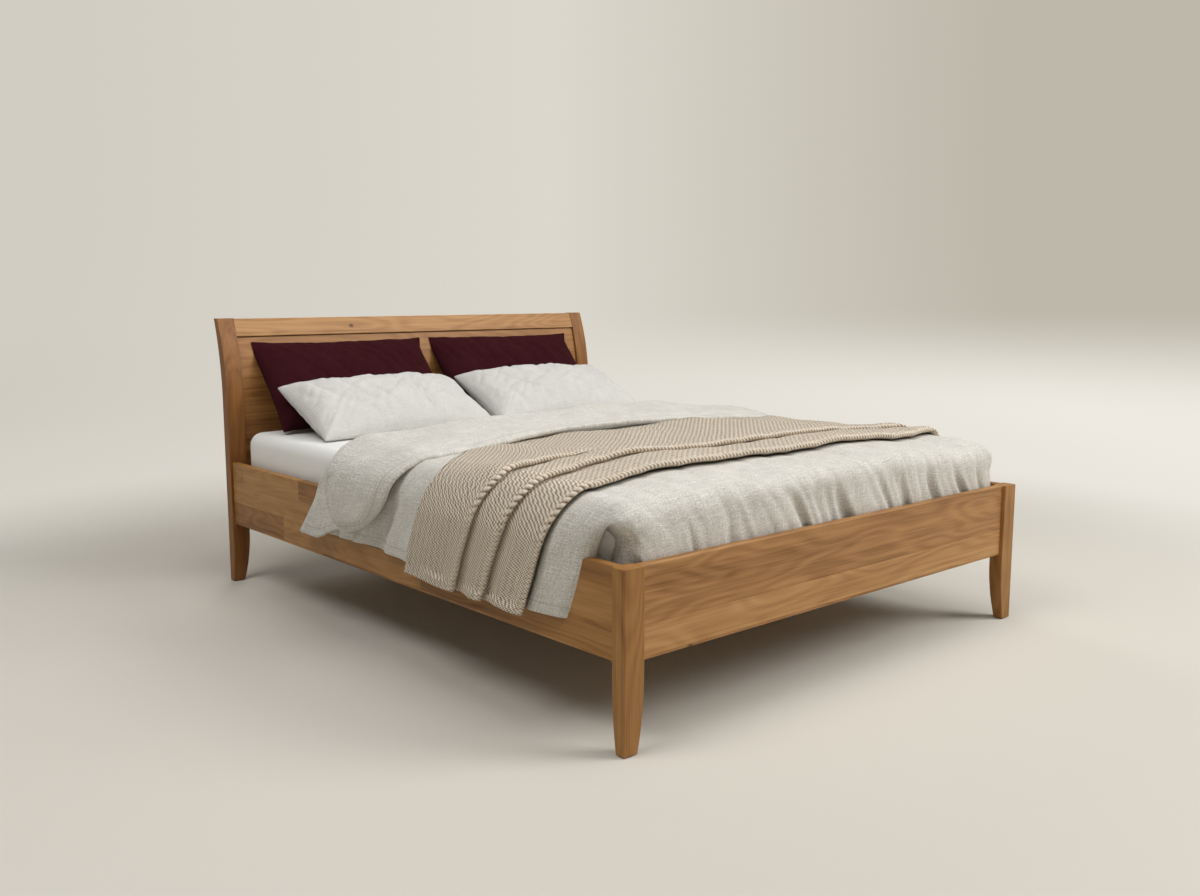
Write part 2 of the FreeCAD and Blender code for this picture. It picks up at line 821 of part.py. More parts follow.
bolts, bolt_holes, centre_glides = [], [], []
for end, share in zip(("foot", "head"), CENTRE_LEG_SHARES):
    along = f"beam_start + (beam_finish - beam_start) * {share}"
    bolt = rod(f"bolt_{end}", "Z", "bolt_diameter / 2", "bolt_length")
    place(bolt, "0", along, "beam_bottom - bolt_length / 2")
    bolts.append(bolt)
    hole = rod(
        f"bolt_hole_{end}",
        "Z",
        "bolt_diameter / 2 + dowel_clearance",
        "bolt_length + 2 * dowel_clearance",
    )
    place(hole, "0", along, "beam_bottom - bolt_length / 2 - dowel_clearance")
    bolt_holes.append(hole)
    leg = rod(f"centre_leg_{end}_body", "Z", "centre_leg_diameter / 2", "centre_leg_length")
    place(leg, "0", along, "glide_thickness")
    node(cut(f"centre_leg_{end}_cut", leg, [hole]), f"centre_leg_{end}")
    glide = rod(f"centre_glide_{end}", "Z", "centre_leg_diameter / 2 - glide_inset", "glide_thickness")
    place(glide, "0", along)
    centre_glides.append(glide)
beam = board("beam_body", "Y", "beam_width", "beam_height", "beam_finish - beam_start", "beam_round")
place(beam, "-beam_width / 2", "beam_start", "beam_bottom")
node(cut("beam_cut", beam, bolt_holes), "centre_beam")
node(group("bolt_group", bolts), "leg_bolts")


# Felt glides under every leg.
GLIDE_WIDTH, GLIDE_DEPTH = "leg_foot_width - 2 * glide_inset", "leg_foot_depth - 2 * glide_inset"
foot_glide = box("foot_glide", GLIDE_WIDTH, GLIDE_DEPTH, "glide_thickness")
place(foot_glide, "-half_width + glide_inset", "foot_face + glide_inset")
head_glide = box("head_glide", GLIDE_WIDTH, GLIDE_DEPTH, "glide_thickness")
head_leg_front = "rail_end + head_post_depth - leg_foot_depth"
place(head_glide, "-half_width + glide_inset", f"{head_leg_front} + glide_inset")
corner_glides = [foot_glide, head_glide]
corner_glides += [mirrored(glide.Name + "_right", glide) for glide in corner_glides]
node(group("glide_group", corner_glides + centre_glides), "floor_glides")


# Slatted base: slats evenly spaced between the ends of the ledges, on two tapes.
SLAT_LENGTH = "2 * (rail_inner - slat_end_gap)"
SLAT_PITCH = f"(rail_length - 2 * slat_margin - slat_width) / ({SLAT_COUNT} - 1)"
for index in range(SLAT_COUNT):
    name = f"slat_{index + 1:02d}"
    sizes = ("slat_width", "slat_thickness", SLAT_LENGTH, "slat_bevel")
    slat = board(f"{name}_body", "X", *sizes, bevelled=True)
    along = f"rail_start + slat_margin + {index} * {SLAT_PITCH}"
    place(slat, "-rail_inner + slat_end_gap", along, "slat_bottom")
    node(slat, name)
tape = box("tape_body", "tape_width", "rail_length - 2 * slat_margin - slat_width", "tape_thickness")
place(
    tape,
    f"-rail_inner * {TAPE_SHARE} - tape_width / 2",
    "rail_start + slat_margin + slat_width / 2",
    "slat_bottom - tape_thickness",
)
node(tape, "slat_tape_left")
node(mirrored("tape_r", tape), "slat_tape_right")


# Mattress with rounded corners and edges.
def mattress():
    body = doc.addObject("PartDesign::Body", "mattress_body")
    corners, arcs = rounded_rectangle("mattress_width", "mattress_length", "mattress_corner")
    block = pad(body, outline(body, "Plan", "XY_Plane", corners, arcs), "mattress_thickness")
    middle = number("mattress_thickness") / 2

    top = lambda edge: edge.BoundBox.ZMin > middle
    base = lambda edge: edge.BoundBox.ZMax < middle / 2
    rounded = round_edges(body, block, "mattress_round", top)
    bevel_edges(body, rounded, "mattress_base_bevel", base)
    place(body, "-mattress_width / 2", "mattress_start", "slat_top")
    return body


node(mattress(), "mattress")


# Duvet: a layer over the mattress that hangs outside both rails, a turned-back flap on it, and a tucked end.
def arch(name, inner, outer, inner_top, outer_top, inner_round, outer_round, bottom, start, length):
    """A layer of cloth over the bed seen from its foot, drawn out along the bed."""
    body = doc.addObject("PartDesign::Body", name)
    corners, arcs = [], {}
    for half, top, bend, turn in ((outer, outer_top, outer_round, -1), (inner, inner_top, inner_round, 1)):
        line = [
            (f"-({half})", bottom),
            (f"-({half})", f"{top} - {bend}"),
            (f"-({half}) + {bend}", top),
            (f"{half} - {bend}", top),
            (half, f"{top} - {bend}"),
            (half, bottom),
        ]
        first = len(corners)
        corners += line if turn < 0 else line[::-1]
        arcs.update({first + 1: (bend, turn), first + 3: (bend, turn)})
    section = outline(body, "Section", "XZ_Plane", corners, arcs)
    pad(body, section, length, reverse=True)
    place(body, "0", start)
    return body


def side_view(name, corners, arcs=None):
    """A side outline of cloth, drawn out across the bed past both its edges."""
    body = doc.addObject("PartDesign::Body", name)
    section = outline(body, "SideView", "YZ_Plane", corners, arcs)
    pad(body, section, "2 * (half_width + 4 * duvet_drop_loft)", middle=True)
    return body


def common(name, first, second):
    both = doc.addObject("Part::MultiCommon", name)
    both.Shapes = [first, second]
    return both


# The hem of the lower layer, as shares of the fold's place and of the hanging height, from the foot.
HEM_SHARES = ((0.135, 0.0), (0.30, 0.12), (0.50, 0.20), (0.72, 0.26), (0.9, 0.16))
FLARE_SHARE = 0.35
FLAP_CORNER_SHARES = ((0.28, 0.14), (0.52, 0.08))
LOW, HIGH = "duvet_hem_height", "(duvet_top + duvet_flap_loft)"
HANG = "(duvet_top - duvet_hem_height)"
ARCH_LENGTH = "duvet_fold + duvet_head_flare - mattress_start"


def duvet():
    lower = arch(
        "duvet_lower",
        "duvet_inner",
        "duvet_outer",
        "mattress_top",
        "duvet_top",
        "duvet_inner_round",
        "duvet_outer_round",
        LOW,
        "mattress_start",
        ARCH_LENGTH,
    )
    hem = [(f"foot_face + duvet_fold_place * {u}", f"{LOW} + {HANG} * {v}") for u, v in HEM_SHARES]
    lower_side = side_view(
        "duvet_lower_side",
        [("mattress_start", "duvet_top"), ("mattress_start", "mattress_top - duvet_outer_round")]
        + hem
        + [
            ("duvet_fold + duvet_head_flare", f"{LOW} + {HANG} * 0.05"),
            (f"duvet_fold + duvet_head_flare * {FLARE_SHARE}", f"{LOW} + {HANG} * 0.5"),
            ("duvet_fold", "mattress_top"),
            ("duvet_fold", "duvet_top"),
        ],
    )
    flap = arch(
        "duvet_flap",
        "duvet_outer",
        "duvet_outer + duvet_drop_loft",
        "duvet_top",
        "duvet_top + duvet_flap_loft",
        "duvet_outer_round",
        "duvet_outer_round + duvet_drop_loft",
        LOW,
        "mattress_start",
        ARCH_LENGTH,
    )
    flap_start = "(duvet_fold - duvet_flap_length)"
    reach = "(duvet_flap_length + duvet_head_flare)"
    corner = [(f"{flap_start} + {reach} * {u}", f"{LOW} + {HANG} * {v}") for u, v in FLAP_CORNER_SHARES]
    bend = "duvet_flap_loft * 0.9"
    flap_side = side_view(
        "duvet_flap_side",
        [
            (f"{flap_start} + {bend}", HIGH),
            (flap_start, f"{HIGH} - {bend}"),
            (flap_start, "duvet_top - duvet_outer_round / 2"),
        ]
        + corner
        + [
            ("duvet_fold + duvet_head_flare", f"{LOW} + {HANG} * 0.05"),
            (f"duvet_fold + duvet_head_flare * {FLARE_SHARE}", f"{LOW} + {HANG} * 0.5"),
            ("duvet_fold", "mattress_top"),
            ("duvet_fold", f"{HIGH} - {bend}"),
            (f"duvet_fold - {bend}", HIGH),
        ],
        {0: (bend, 1), 8: (bend, 1)},
    )
    tuck = doc.addObject("PartDesign::Body", "duvet_tuck")
    near, far = "duvet_start", "(duvet_start + duvet_tuck_loft)"
    bend = "(duvet_loft * 0.9)"
    section = outline(
        tuck,
        "SideView",
        "YZ_Plane",
        [
            (near, "mattress_top - duvet_tuck_depth"),
            (far, "mattress_top - duvet_tuck_depth"),
            (far, "mattress_top"),
            (f"mattress_start + {bend}", "mattress_top"),
            (f"mattress_start + {bend}", "duvet_top"),
            (f"{near} + {bend}", "duvet_top"),
            (near, f"duvet_top - {bend}"),
        ],
        {5: (bend, 1)},
    )
    pad(tuck, section, "2 * (post_inner - duvet_tuck_side)", middle=True)
    whole = doc.addObject("Part::MultiFuse", "duvet_whole")
    whole.Shapes = [common("duvet_a", lower, lower_side), common("duvet_b", flap, flap_side), tuck]
    whole.Refine = True
    return whole


node(duvet(), "duvet")


# Throw: a pleated strip in three overlapping layers, swept over the duvet from hem to hem.
PLEAT_SHARES = ((0.0, 0.24, 1), (0.24, 0.37, 2), (0.37, 1.0, 3))


def throw():
    layers = []
    for index, (start, end, count) in enumerate(PLEAT_SHARES):
        inner = "duvet_outer + throw_clearance"
        layers.append(
            arch(
                f"throw_layer_{index}",
                f"({inner})",
                f"({inner} + throw_layer * {count})",
                "(duvet_top + throw_clearance)",
                f"(duvet_top + throw_clearance + throw_layer * {count})",
                "(duvet_outer_round + throw_clearance)",
                f"(duvet_outer_round + throw_clearance + throw_layer * {count})",
                "throw_hem_height",
                f"throw_start + throw_length * {start}",
                f"throw_length * ({end} - {start})",
            )
        )
    whole = doc.addObject("Part::MultiFuse", "throw_whole")
    whole.Shapes = layers
    whole.Refine = True
    return whole


node(throw(), "throw")


# Pillows: two crossed lenses with drawn-in sides, leaning on what is behind them.
END_CROWN_SHARE = 1.6


def lens(name, plane, span, crown, length, grow="0"):
    """A bulged section from seam to seam about the middle of a plane, drawn out to both sides."""
    body = doc.addObject("PartDesign::Body", name)
    half, edge = f"({span} / 2 + {grow})", f"(pillow_seam / 2 + {grow})"
    bulge = curve_radius(half, crown)
    corners = [(f"-{half}", f"-{edge}"), (half, f"-{edge}"), (half, edge), (f"-{half}", edge)]
    section = outline(body, "Section", plane, corners, {0: (bulge, 1), 2: (bulge, 1)})
    pad(body, section, length, middle=True)
    return body


def crown_of(loft):
    return f"(({loft} - pillow_seam) / 2)"


def pillow(name, width, height, loft):
    """A pillow lying flat about the origin: width along X, height along Y, crowned to both sides."""
    across = lens(f"{name}_across", "YZ_Plane", height, crown_of(loft), width)
    along = lens(f"{name}_along", "XZ_Plane", width, f"{crown_of(loft)} * {END_CROWN_SHARE}", height)
    return common(name, across, along)


def drawn_in(name, body, width, height):
    """Cut the short sides of a pillow back in a shallow curve between its corners."""
    radius = f"((({height}) / 2) ^ 2 + pillow_draw ^ 2) / (2 * pillow_draw)"
    tools = []
    for side in (-1, 1):
        tool = rod(f"{name}_side_{'left' if side < 0 else 'right'}", "Z", radius, "4 * back_pillow_loft")
        place(
            tool,
            f"{side} * (({width}) / 2 - pillow_draw + {radius})",
            "0",
            "-2 * back_pillow_loft",
        )
        tools.append(tool)
    return cut(name, body, tools)


def lean(name, source, angle, height, x, y, z):
    """The pillow turned up about its lower edge and set with that edge in its place."""
    leaning = doc.addObject("Part::Compound", name)
    leaning.Links = [source]
    leaning.Placement = FreeCAD.Placement(Vector(), FreeCAD.Rotation(Vector(1, 0, 0), 1))
    leaning.setExpression("Placement.Rotation.Angle", expand(angle))
    half = f"({height}) / 2"
    place(leaning, x, f"{y} + {half} * cos({angle})", f"{z} + {half} * sin({angle})")
    return leaning


seat = box("pillow_seat_room", "2 * half_width", "rail_length", "mattress_thickness")
place(seat, "-half_width", "rail_start", "pillow_seat - mattress_thickness")
panel_room = doc.addObject("PartDesign::Body", "panel_room")
near = "(head_panel_recess - soft_clearance)"
pad(
    panel_room,
    outline(
        panel_room,
        "SideView",
        "YZ_Plane",
        [
            (f"rail_end + {near}", "mattress_top"),
            ("rail_end + 2 * back_lean", "mattress_top"),
            ("rail_end + 2 * back_lean", "head_height"),
            (front_curve("head_height", near), "head_height"),
            (f"rail_end + {near}", "front_lean_start"),
        ],
        {3: (f"front_radius - {near}", 1)},
    ),
    "2 * half_width",
    middle=True,
)
BACK_Y = (
    front_curve("(pillow_seat + back_pillow_rise)", "head_panel_recess")
    + " + pillow_press - back_pillow_run - pillow_seam / 2 * back_pillow_rise / back_pillow_height"
)
BACK_X = "-(back_pillow_width + back_pillow_middle_gap) / 2"
BACK_LEAN = ("back_pillow_lean", "back_pillow_height", BACK_X, BACK_Y, "pillow_seat")
back_sizes = ("back_pillow_width", "back_pillow_height", "back_pillow_loft")
back_flat = drawn_in("back_drawn", pillow("back_flat", *back_sizes), *back_sizes[:2])
back_set = lean("back_set", back_flat, *BACK_LEAN)
back_left = node(cut("back_left", back_set, [seat, panel_room]), "back_pillow_left")
node(mirrored("back_right", back_left), "back_pillow_right")
back_wide = lens(
    "back_wide",
    "YZ_Plane",
    "back_pillow_height",
    crown_of("back_pillow_loft"),
    "back_pillow_width",
    "soft_clearance",
)
back_room = lean("back_room", back_wide, *BACK_LEAN)
FRONT_X = "-(front_pillow_width + front_pillow_middle_gap) / 2"
front_sizes = ("front_pillow_width", "front_pillow_height", "front_pillow_loft")
front_flat = drawn_in("front_drawn", pillow("front_flat", *front_sizes), *front_sizes[:2])
front_set = lean(
    "front_set",
    front_flat,
    "front_pillow_lean",
    "front_pillow_height",
    FRONT_X,
    "rail_end - front_pillow_place",
    "pillow_seat",
)
front_left = node(cut("front_left", front_set, [seat, back_room]), "front_pillow_left")
node(mirrored("front_right", front_left), "front_pillow_right")

doc.recompute()
faults = [f"{o.Name}: {o.State}" for o in doc.Objects if {"Invalid", "Error"} & set(o.State)]
for part in parts:
    if part.Shape.isNull() or not part.Shape.isValid() or not part.Shape.Solids:
        faults.append(f"{part.Label}: no valid solid")
if faults:
    raise RuntimeError("; ".join(faults))
os.makedirs("parts", exist_ok=True)
for part in parts:
    part.Shape.exportStep(f"parts/{part.Label}.step")
print(len(parts), "parts written")
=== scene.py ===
import math

import bmesh
import bpy
import numpy as np
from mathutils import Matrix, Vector, noise
from mathutils.bvhtree import BVHTree


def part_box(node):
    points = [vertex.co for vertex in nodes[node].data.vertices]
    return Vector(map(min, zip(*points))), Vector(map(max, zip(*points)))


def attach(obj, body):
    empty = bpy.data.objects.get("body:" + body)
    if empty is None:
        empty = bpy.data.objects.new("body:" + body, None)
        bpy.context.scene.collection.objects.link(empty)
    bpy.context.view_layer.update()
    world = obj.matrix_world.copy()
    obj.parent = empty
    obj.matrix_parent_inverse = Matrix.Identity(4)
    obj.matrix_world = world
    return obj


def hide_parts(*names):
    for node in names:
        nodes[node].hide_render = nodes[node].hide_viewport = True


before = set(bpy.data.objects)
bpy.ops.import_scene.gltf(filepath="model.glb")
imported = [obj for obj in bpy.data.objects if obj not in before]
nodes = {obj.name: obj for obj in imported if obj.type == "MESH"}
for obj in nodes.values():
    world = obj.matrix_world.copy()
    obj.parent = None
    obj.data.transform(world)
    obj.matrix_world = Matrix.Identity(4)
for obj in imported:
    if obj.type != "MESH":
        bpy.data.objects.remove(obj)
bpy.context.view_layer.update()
scene = bpy.context.scene

# Sizes in metres. Places come from the frame.
MATTRESS_LOW, MATTRESS_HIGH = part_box("mattress")
BED_TOP = MATTRESS_HIGH.z
RAIL_SIDE = -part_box("side_rail_left")[0].x
FOOTBOARD_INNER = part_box("footboard_panel")[1].y
FOOT_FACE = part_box("foot_post_left")[0].y
DUVET_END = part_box("duvet")[1].y

WOOD_GAP = 0.003
CLOTH_SIDE = RAIL_SIDE + WOOD_GAP
EDGE_ROUND = 0.085
SIDE_LOFT_SHARE = 0.65
HEM_HEIGHT = 0.294
DUVET_LOFT = 0.040
TURNBACK_ROUND, TURNBACK_LEG = 0.044, 0.06
FOLD_INSET = 0.205
FOLD_Y = DUVET_END - FOLD_INSET - TURNBACK_ROUND
# How far hanging cloth drifts towards the head, as a share of its fall.
FOLD_LEAN, FOOT_LEAN, HEM_LEAN = 0.80, 0.44, 0.35
CLOTH_STEP = 0.012
SEAM_INSET, SEAM_WIDTH = 0.03, 0.0035
TUCK_ROOM = 0.03


# Shader helpers
def paint(red, green, blue):
    """A screen colour from 0 to 255 as the shader's own linear colour."""
    line = []
    for part in (red, green, blue):
        part /= 255
        line.append(part / 12.92 if part <= 0.04045 else ((part + 0.055) / 1.055) ** 2.4)
    return (*line, 1.0)


def add(tree, kind, inputs=(), **settings):
    """A shader node with its settings, its inputs given as values or as sockets to join."""
    made = tree.nodes.new("ShaderNode" + kind)
    for name, value in settings.items():
        setattr(made, name, value)
    for name, value in dict(inputs).items():
        if isinstance(value, bpy.types.NodeSocket):
            tree.links.new(value, made.inputs[name])
        else:
            made.inputs[name].default_value = value
    return made


def maths(tree, operation, *values):
    return add(tree, "Math", dict(enumerate(values)), operation=operation).outputs[0]


def swing(tree, pattern, amount, tone):
    """A tone raised and lowered by a pattern that lies about a half."""
    return maths(tree, "MULTIPLY_ADD", maths(tree, "SUBTRACT", pattern, 0.5), amount, tone)


def stretched(tree, vector, scale):
    return add(tree, "Mapping", {"Vector": vector, "Scale": scale}).outputs[0]


def mottle(tree, vector, scale, detail=2.0, roughness=0.5):
    inputs = {"Vector": vector, "Scale": scale, "Detail": detail, "Roughness": roughness}
    return add(tree, "TexNoise", inputs).outputs[0]


def ramp(tree, value, stops):
    """A colour ramp through stops of place and colour."""
    made = add(tree, "ValToRGB", {"Fac": value})
    elements = made.color_ramp.elements
    for element, (at, colour) in zip(elements, (stops[0], stops[-1])):
        element.position, element.color = at, colour
    for at, colour in stops[1:-1]:
        elements.new(at).color = colour
    return made.outputs["Color"]


def effect(name, inputs, outputs):
    """An empty node group with named inputs and outputs."""
    group = bpy.data.node_groups.new(name, "ShaderNodeTree")
    for label, kind, value in inputs:
        socket = group.interface.new_socket(label, in_out="INPUT", socket_type="NodeSocket" + kind)
        if value is not None:
            socket.default_value = value
    for label in outputs:
        group.interface.new_socket(label, in_out="OUTPUT", socket_type="NodeSocketFloat")
    return group, group.nodes.new("NodeGroupInput").outputs, group.nodes.new("NodeGroupOutput").inputs


def use(tree, group, inputs):
    return add(tree, "Group", inputs, node_tree=group).outputs


def finish_material(name, roughness, shine=0.5):
    """A new material with its shader; the same numbers all over are set on the shader itself."""
    material = bpy.data.materials.new(name)
    material.use_nodes = True
    tree = material.node_tree
    shader = tree.nodes["Principled BSDF"]
    shader.inputs["Roughness"].default_value = roughness
    shader.inputs["Specular IOR Level"].default_value = shine
    return material, tree, shader


def relief(tree, shader, height, strength, depth):
    bump = add(tree, "Bump", {"Height": height, "Strength": strength, "Distance": depth})
    tree.links.new(bump.outputs["Normal"], shader.inputs["Normal"])


# Shared effects
def make_wood_grain():
    """Grain along X, with glued staves side by side along Y, each cut from another place in the tree."""
    group, given, made = effect(
        "wood_grain",
        [
            ("Grain", "Vector", None),
            ("Stave Width", "Float", 0.074),
            ("Stave Length", "Float", 1.6),
            ("Stave Contrast", "Float", 0.3),
            ("Knots", "Float", 0.5),
        ],
        ["Tone", "Relief"],
    )
    place = add(group, "SeparateXYZ", {0: given["Grain"]}).outputs
    row = maths(group, "FLOOR", maths(group, "DIVIDE", place["Y"], given["Stave Width"]))
    shift = add(group, "TexWhiteNoise", {"W": row}, noise_dimensions="1D").outputs["Value"]
    along = maths(group, "DIVIDE", place["X"], given["Stave Length"])
    stave = maths(group, "FLOOR", maths(group, "MULTIPLY_ADD", shift, 7.0, along))
    number = add(group, "CombineXYZ", {0: row, 1: stave, 2: 0.5}).outputs[0]
    chance = add(group, "TexWhiteNoise", {"Vector": number}, noise_dimensions="3D").outputs
    cut = add(
        group,
        "VectorMath",
        {0: chance["Color"], 1: (9.0, 9.0, 9.0), 2: given["Grain"]},
        operation="MULTIPLY_ADD",
    ).outputs[0]
    figure = mottle(group, stretched(group, cut, (2.0, 11.0, 11.0)), 1.0, 1.0)
    rings = maths(group, "SINE", maths(group, "MULTIPLY", figure, 60.0))
    bands = mottle(group, stretched(group, cut, (0.8, 34.0, 34.0)), 1.0, 2.0)
    streaks = mottle(group, stretched(group, cut, (1.6, 130.0, 130.0)), 1.0, 4.0, 0.6)
    fibres = mottle(group, stretched(group, cut, (9.0, 460.0, 460.0)), 1.0, 2.0)
    knot_place = stretched(group, cut, (10.0, 14.0, 14.0))
    cells = add(group, "TexVoronoi", {"Vector": knot_place, "Scale": 1.0}).outputs
    span = {"Value": cells["Distance"], "From Min": 0.15, "From Max": 0.03}
    eye = add(group, "MapRange", span, interpolation_type="SMOOTHSTEP").outputs[0]
    draw = add(group, "SeparateColor", {0: cells["Color"]}).outputs[0]
    rare = maths(group, "GREATER_THAN", draw, 0.93)
    knot = maths(group, "MULTIPLY", maths(group, "MULTIPLY", eye, rare), given["Knots"])
    tone = swing(group, chance["Value"], given["Stave Contrast"], 0.5)
    tone = swing(group, bands, 0.4, tone)
    tone = swing(group, streaks, 0.5, tone)
    tone = maths(group, "MULTIPLY_ADD", rings, 0.06, tone)
    tone = swing(group, fibres, 0.22, tone)
    tone = maths(group, "SUBTRACT", tone, knot)
    group.links.new(tone, made["Tone"])
    group.links.new(maths(group, "MULTIPLY_ADD", fibres, 0.6, streaks), made["Relief"])
    return group


def make_weave():
    """Plain woven cloth: uneven threads both ways, on flat coordinates in metres."""
    group, given, made = effect(
        "weave",
        [("Flat", "Vector", None), ("Thread", "Float", 900.0), ("Slub", "Float", 0.5)],
        ["Shade", "Relief"],
    )
    counted = {0: given["Flat"], "Scale": given["Thread"]}
    fine = add(group, "VectorMath", counted, operation="SCALE").outputs[0]
    warp = mottle(group, stretched(group, fine, (0.5, 0.018, 1.0)), 1.0, 2.0, 0.6)
    weft = mottle(group, stretched(group, fine, (0.018, 0.5, 1.0)), 1.0, 2.0, 0.6)
    threads = maths(group, "ADD", warp, weft)
    cloudy = mottle(group, given["Flat"], 9.0, 3.0)
    specks = mottle(group, stretched(group, fine, (0.42, 0.22, 1.0)), 1.0, 1.0)
    mixed = swing(group, specks, 1.3, maths(group, "SUBTRACT", threads, 1.0))
    shade = maths(group, "MULTIPLY_ADD", mixed, given["Slub"], 0.5)
    shade = swing(group, cloudy, 0.25, shade)
    group.links.new(shade, made["Shade"])
    group.links.new(threads, made["Relief"])
    return group


WOOD_GRAIN = make_wood_grain()
WEAVE = make_weave()


# Materials
HONEY = [
    (0.0, paint(80, 48, 22)),
    (0.25, paint(134, 91, 49)),
    (0.5, paint(173, 127, 77)),
    (0.75, paint(194, 151, 99)),
    (1.0, paint(212, 175, 126)),
]


def darker(colour, share):
    return (*(part * share for part in colour[:3]), 1.0)


def painted_shade_of(stops, shares):
    """A wood's colours darkened as painted shade, as shares of its red, green and blue."""
    return [(at, (*(part * share for part, share in zip(colour, shares)), 1.0)) for at, colour in stops]


# Painted shade: darker copies of the honey wood for parts that face away from the lamps, and a deeper one for
# parts in heavier shade.
PAINTED_SHADE = painted_shade_of(HONEY, (0.80, 0.74, 0.60))
PAINTED_DEEP_SHADE = painted_shade_of(HONEY, (0.58, 0.46, 0.31))
BEECH = [(0.0, paint(112, 76, 42)), (0.5, paint(168, 126, 80)), (1.0, paint(196, 156, 108))]


def wood(name, order, stops, roughness=0.46, **grain):
    """Oiled wood; order names the axes along the grain, across the face and into the board."""
    material, tree, shader = finish_material(name, roughness, 0.3)
    axes = add(tree, "SeparateXYZ", {0: add(tree, "TexCoord").outputs["Object"]}).outputs
    turned = add(tree, "CombineXYZ", {i: axes[axis] for i, axis in enumerate(order)}).outputs[0]
    pattern = use(tree, WOOD_GRAIN, {"Grain": turned, **grain})
    tree.links.new(ramp(tree, pattern["Tone"], stops), shader.inputs["Base Color"])
    relief(tree, shader, pattern["Relief"], 0.25, 0.0006)
    return material


def cloth(name, light, dark, thread=900.0, slub=0.5, strength=0.3):
    """Woven cloth on the piece's own flat coordinates."""
    material, tree, shader = finish_material(name, 0.9, 0.08)
    flat = add(tree, "UVMap", uv_map="flat").outputs[0]
    pattern = use(tree, WEAVE, {"Flat": flat, "Thread": thread, "Slub": slub})
    tree.links.new(ramp(tree, pattern["Shade"], [(0.1, dark), (0.9, light)]), shader.inputs["Base Color"])
    relief(tree, shader, pattern["Relief"], strength, 0.0008)
    return material


def sewn_linen(name, light, dark):
    """The duvet's linen with a seam near its hem."""
    material = cloth(name, light, dark, slub=0.9, strength=0.35)
    tree, shader = material.node_tree, material.node_tree.nodes["Principled BSDF"]
    hem = add(tree, "Attribute", attribute_name="hem").outputs["Fac"]
    off = maths(tree, "ABSOLUTE", maths(tree, "SUBTRACT", hem, SEAM_INSET))
    seam = add(tree, "MapRange", {"Value": off, "From Min": SEAM_WIDTH, "From Max": 0.0}).outputs[0]
    woven = shader.inputs["Base Color"].links[0].from_socket
    sockets = {0: maths(tree, "MULTIPLY", seam, 0.25), 6: woven, 7: darker(dark, 0.35)}
    tree.links.new(add(tree, "Mix", sockets, data_type="RGBA").outputs[2], shader.inputs["Base Color"])
    return material


STITCH_ROW, STITCH_WALE = 0.0134, 0.0080


def knit(name, light, middle, dark):
    """Chunky moss stitch: slanted beads of yarn in a chequer, and one rope of them at a pleat's edge, with
    painted shade in the gaps between the beads and between the rope's stitches.
    """
    material, tree, shader = finish_material(name, 0.95, 0.05)
    place = add(tree, "UVMap", uv_map="flat").outputs[0]
    flat = add(tree, "SeparateXYZ", {0: place}).outputs
    rows = maths(tree, "MULTIPLY", flat["Y"], 2 * math.pi / STITCH_ROW)
    upright = maths(tree, "MULTIPLY", flat["X"], 2 * math.pi / STITCH_WALE)
    wales = maths(tree, "MULTIPLY_ADD", rows, 0.25, upright)
    chequer = maths(tree, "MULTIPLY", maths(tree, "COSINE", rows), maths(tree, "COSINE", wales))
    pairs = maths(tree, "COSINE", maths(tree, "MULTIPLY", rows, 0.5))
    chequer = maths(tree, "MULTIPLY_ADD", pairs, 0.12, chequer)
    bead = add(tree, "MapRange", {"Value": chequer, "From Min": -0.85, "From Max": 0.85}).outputs[0]
    turn = maths(tree, "MULTIPLY", add(tree, "Attribute", attribute_name="stitch").outputs["Fac"], math.pi)
    strand = maths(tree, "MULTIPLY", maths(tree, "ABSOLUTE", maths(tree, "SINE", turn)), 0.78)
    rope = add(tree, "Attribute", attribute_name="rope").outputs["Fac"]
    bead = maths(tree, "MULTIPLY_ADD", rope, maths(tree, "SUBTRACT", strand, bead), bead)
    uneven = mottle(tree, place, 60.0, 3.0)
    shade = swing(tree, uneven, 0.4, bead)
    # The darkest stop is painted shade in the gaps between the beads of yarn.
    stops = [(0.05, dark), (0.45, middle), (0.90, light)]
    tree.links.new(ramp(tree, shade, stops), shader.inputs["Base Color"])
    relief(tree, shader, bead, 0.8, 0.003)
    return material


def plain(name, colour, roughness, metallic=0.0):
    """One colour with a fine, faint mottle."""
    material, tree, shader = finish_material(name, roughness)
    grain = mottle(tree, add(tree, "TexCoord").outputs["Object"], 220.0, 3.0)
    stops = [(0.3, darker(colour, 0.8)), (0.7, colour)]
    tree.links.new(ramp(tree, grain, stops), shader.inputs["Base Color"])
    shader.inputs["Metallic"].default_value = metallic
    return material


WHOLE = {"Stave Width": 10.0, "Stave Length": 10.0, "Stave Contrast": 0.0}
RAIL_STAVES = {"Stave Width": 0.074, "Stave Length": 0.42, "Stave Contrast": 0.42, "Knots": 0.35}
BOARD_STAVES = {"Stave Width": 0.074, "Stave Length": 60.0, "Stave Contrast": 0.3, "Knots": 0.45}
# Painted shade: the side rails and foot posts take wood darkened as shade, the headboard panel a little
# darker for the shadow of the pillows before it, and the head posts darker still.
rail_wood = wood("honey_wood_rail", "YZX", PAINTED_SHADE, **RAIL_STAVES)
board_wood = wood("honey_wood_board", "XZY", HONEY, **BOARD_STAVES)
panel_wood = wood("honey_wood_panel", "XZY", painted_shade_of(HONEY, (0.78, 0.70, 0.60)), **BOARD_STAVES)
foot_post_wood = wood("honey_wood_foot_post", "ZXY", PAINTED_SHADE, **WHOLE, Knots=0.1)
head_post_wood = wood("honey_wood_head_post", "ZXY", PAINTED_DEEP_SHADE, **WHOLE, Knots=0.1)
slat_wood = wood("slat_wood", "XYZ", BEECH, 0.6, **WHOLE, Knots=0.15)
batten_wood = wood("batten_wood", "YZX", BEECH, 0.6, **WHOLE, Knots=0.15)
leg_wood = wood("support_leg_wood", "ZXY", BEECH, 0.6, **WHOLE, Knots=0.0)
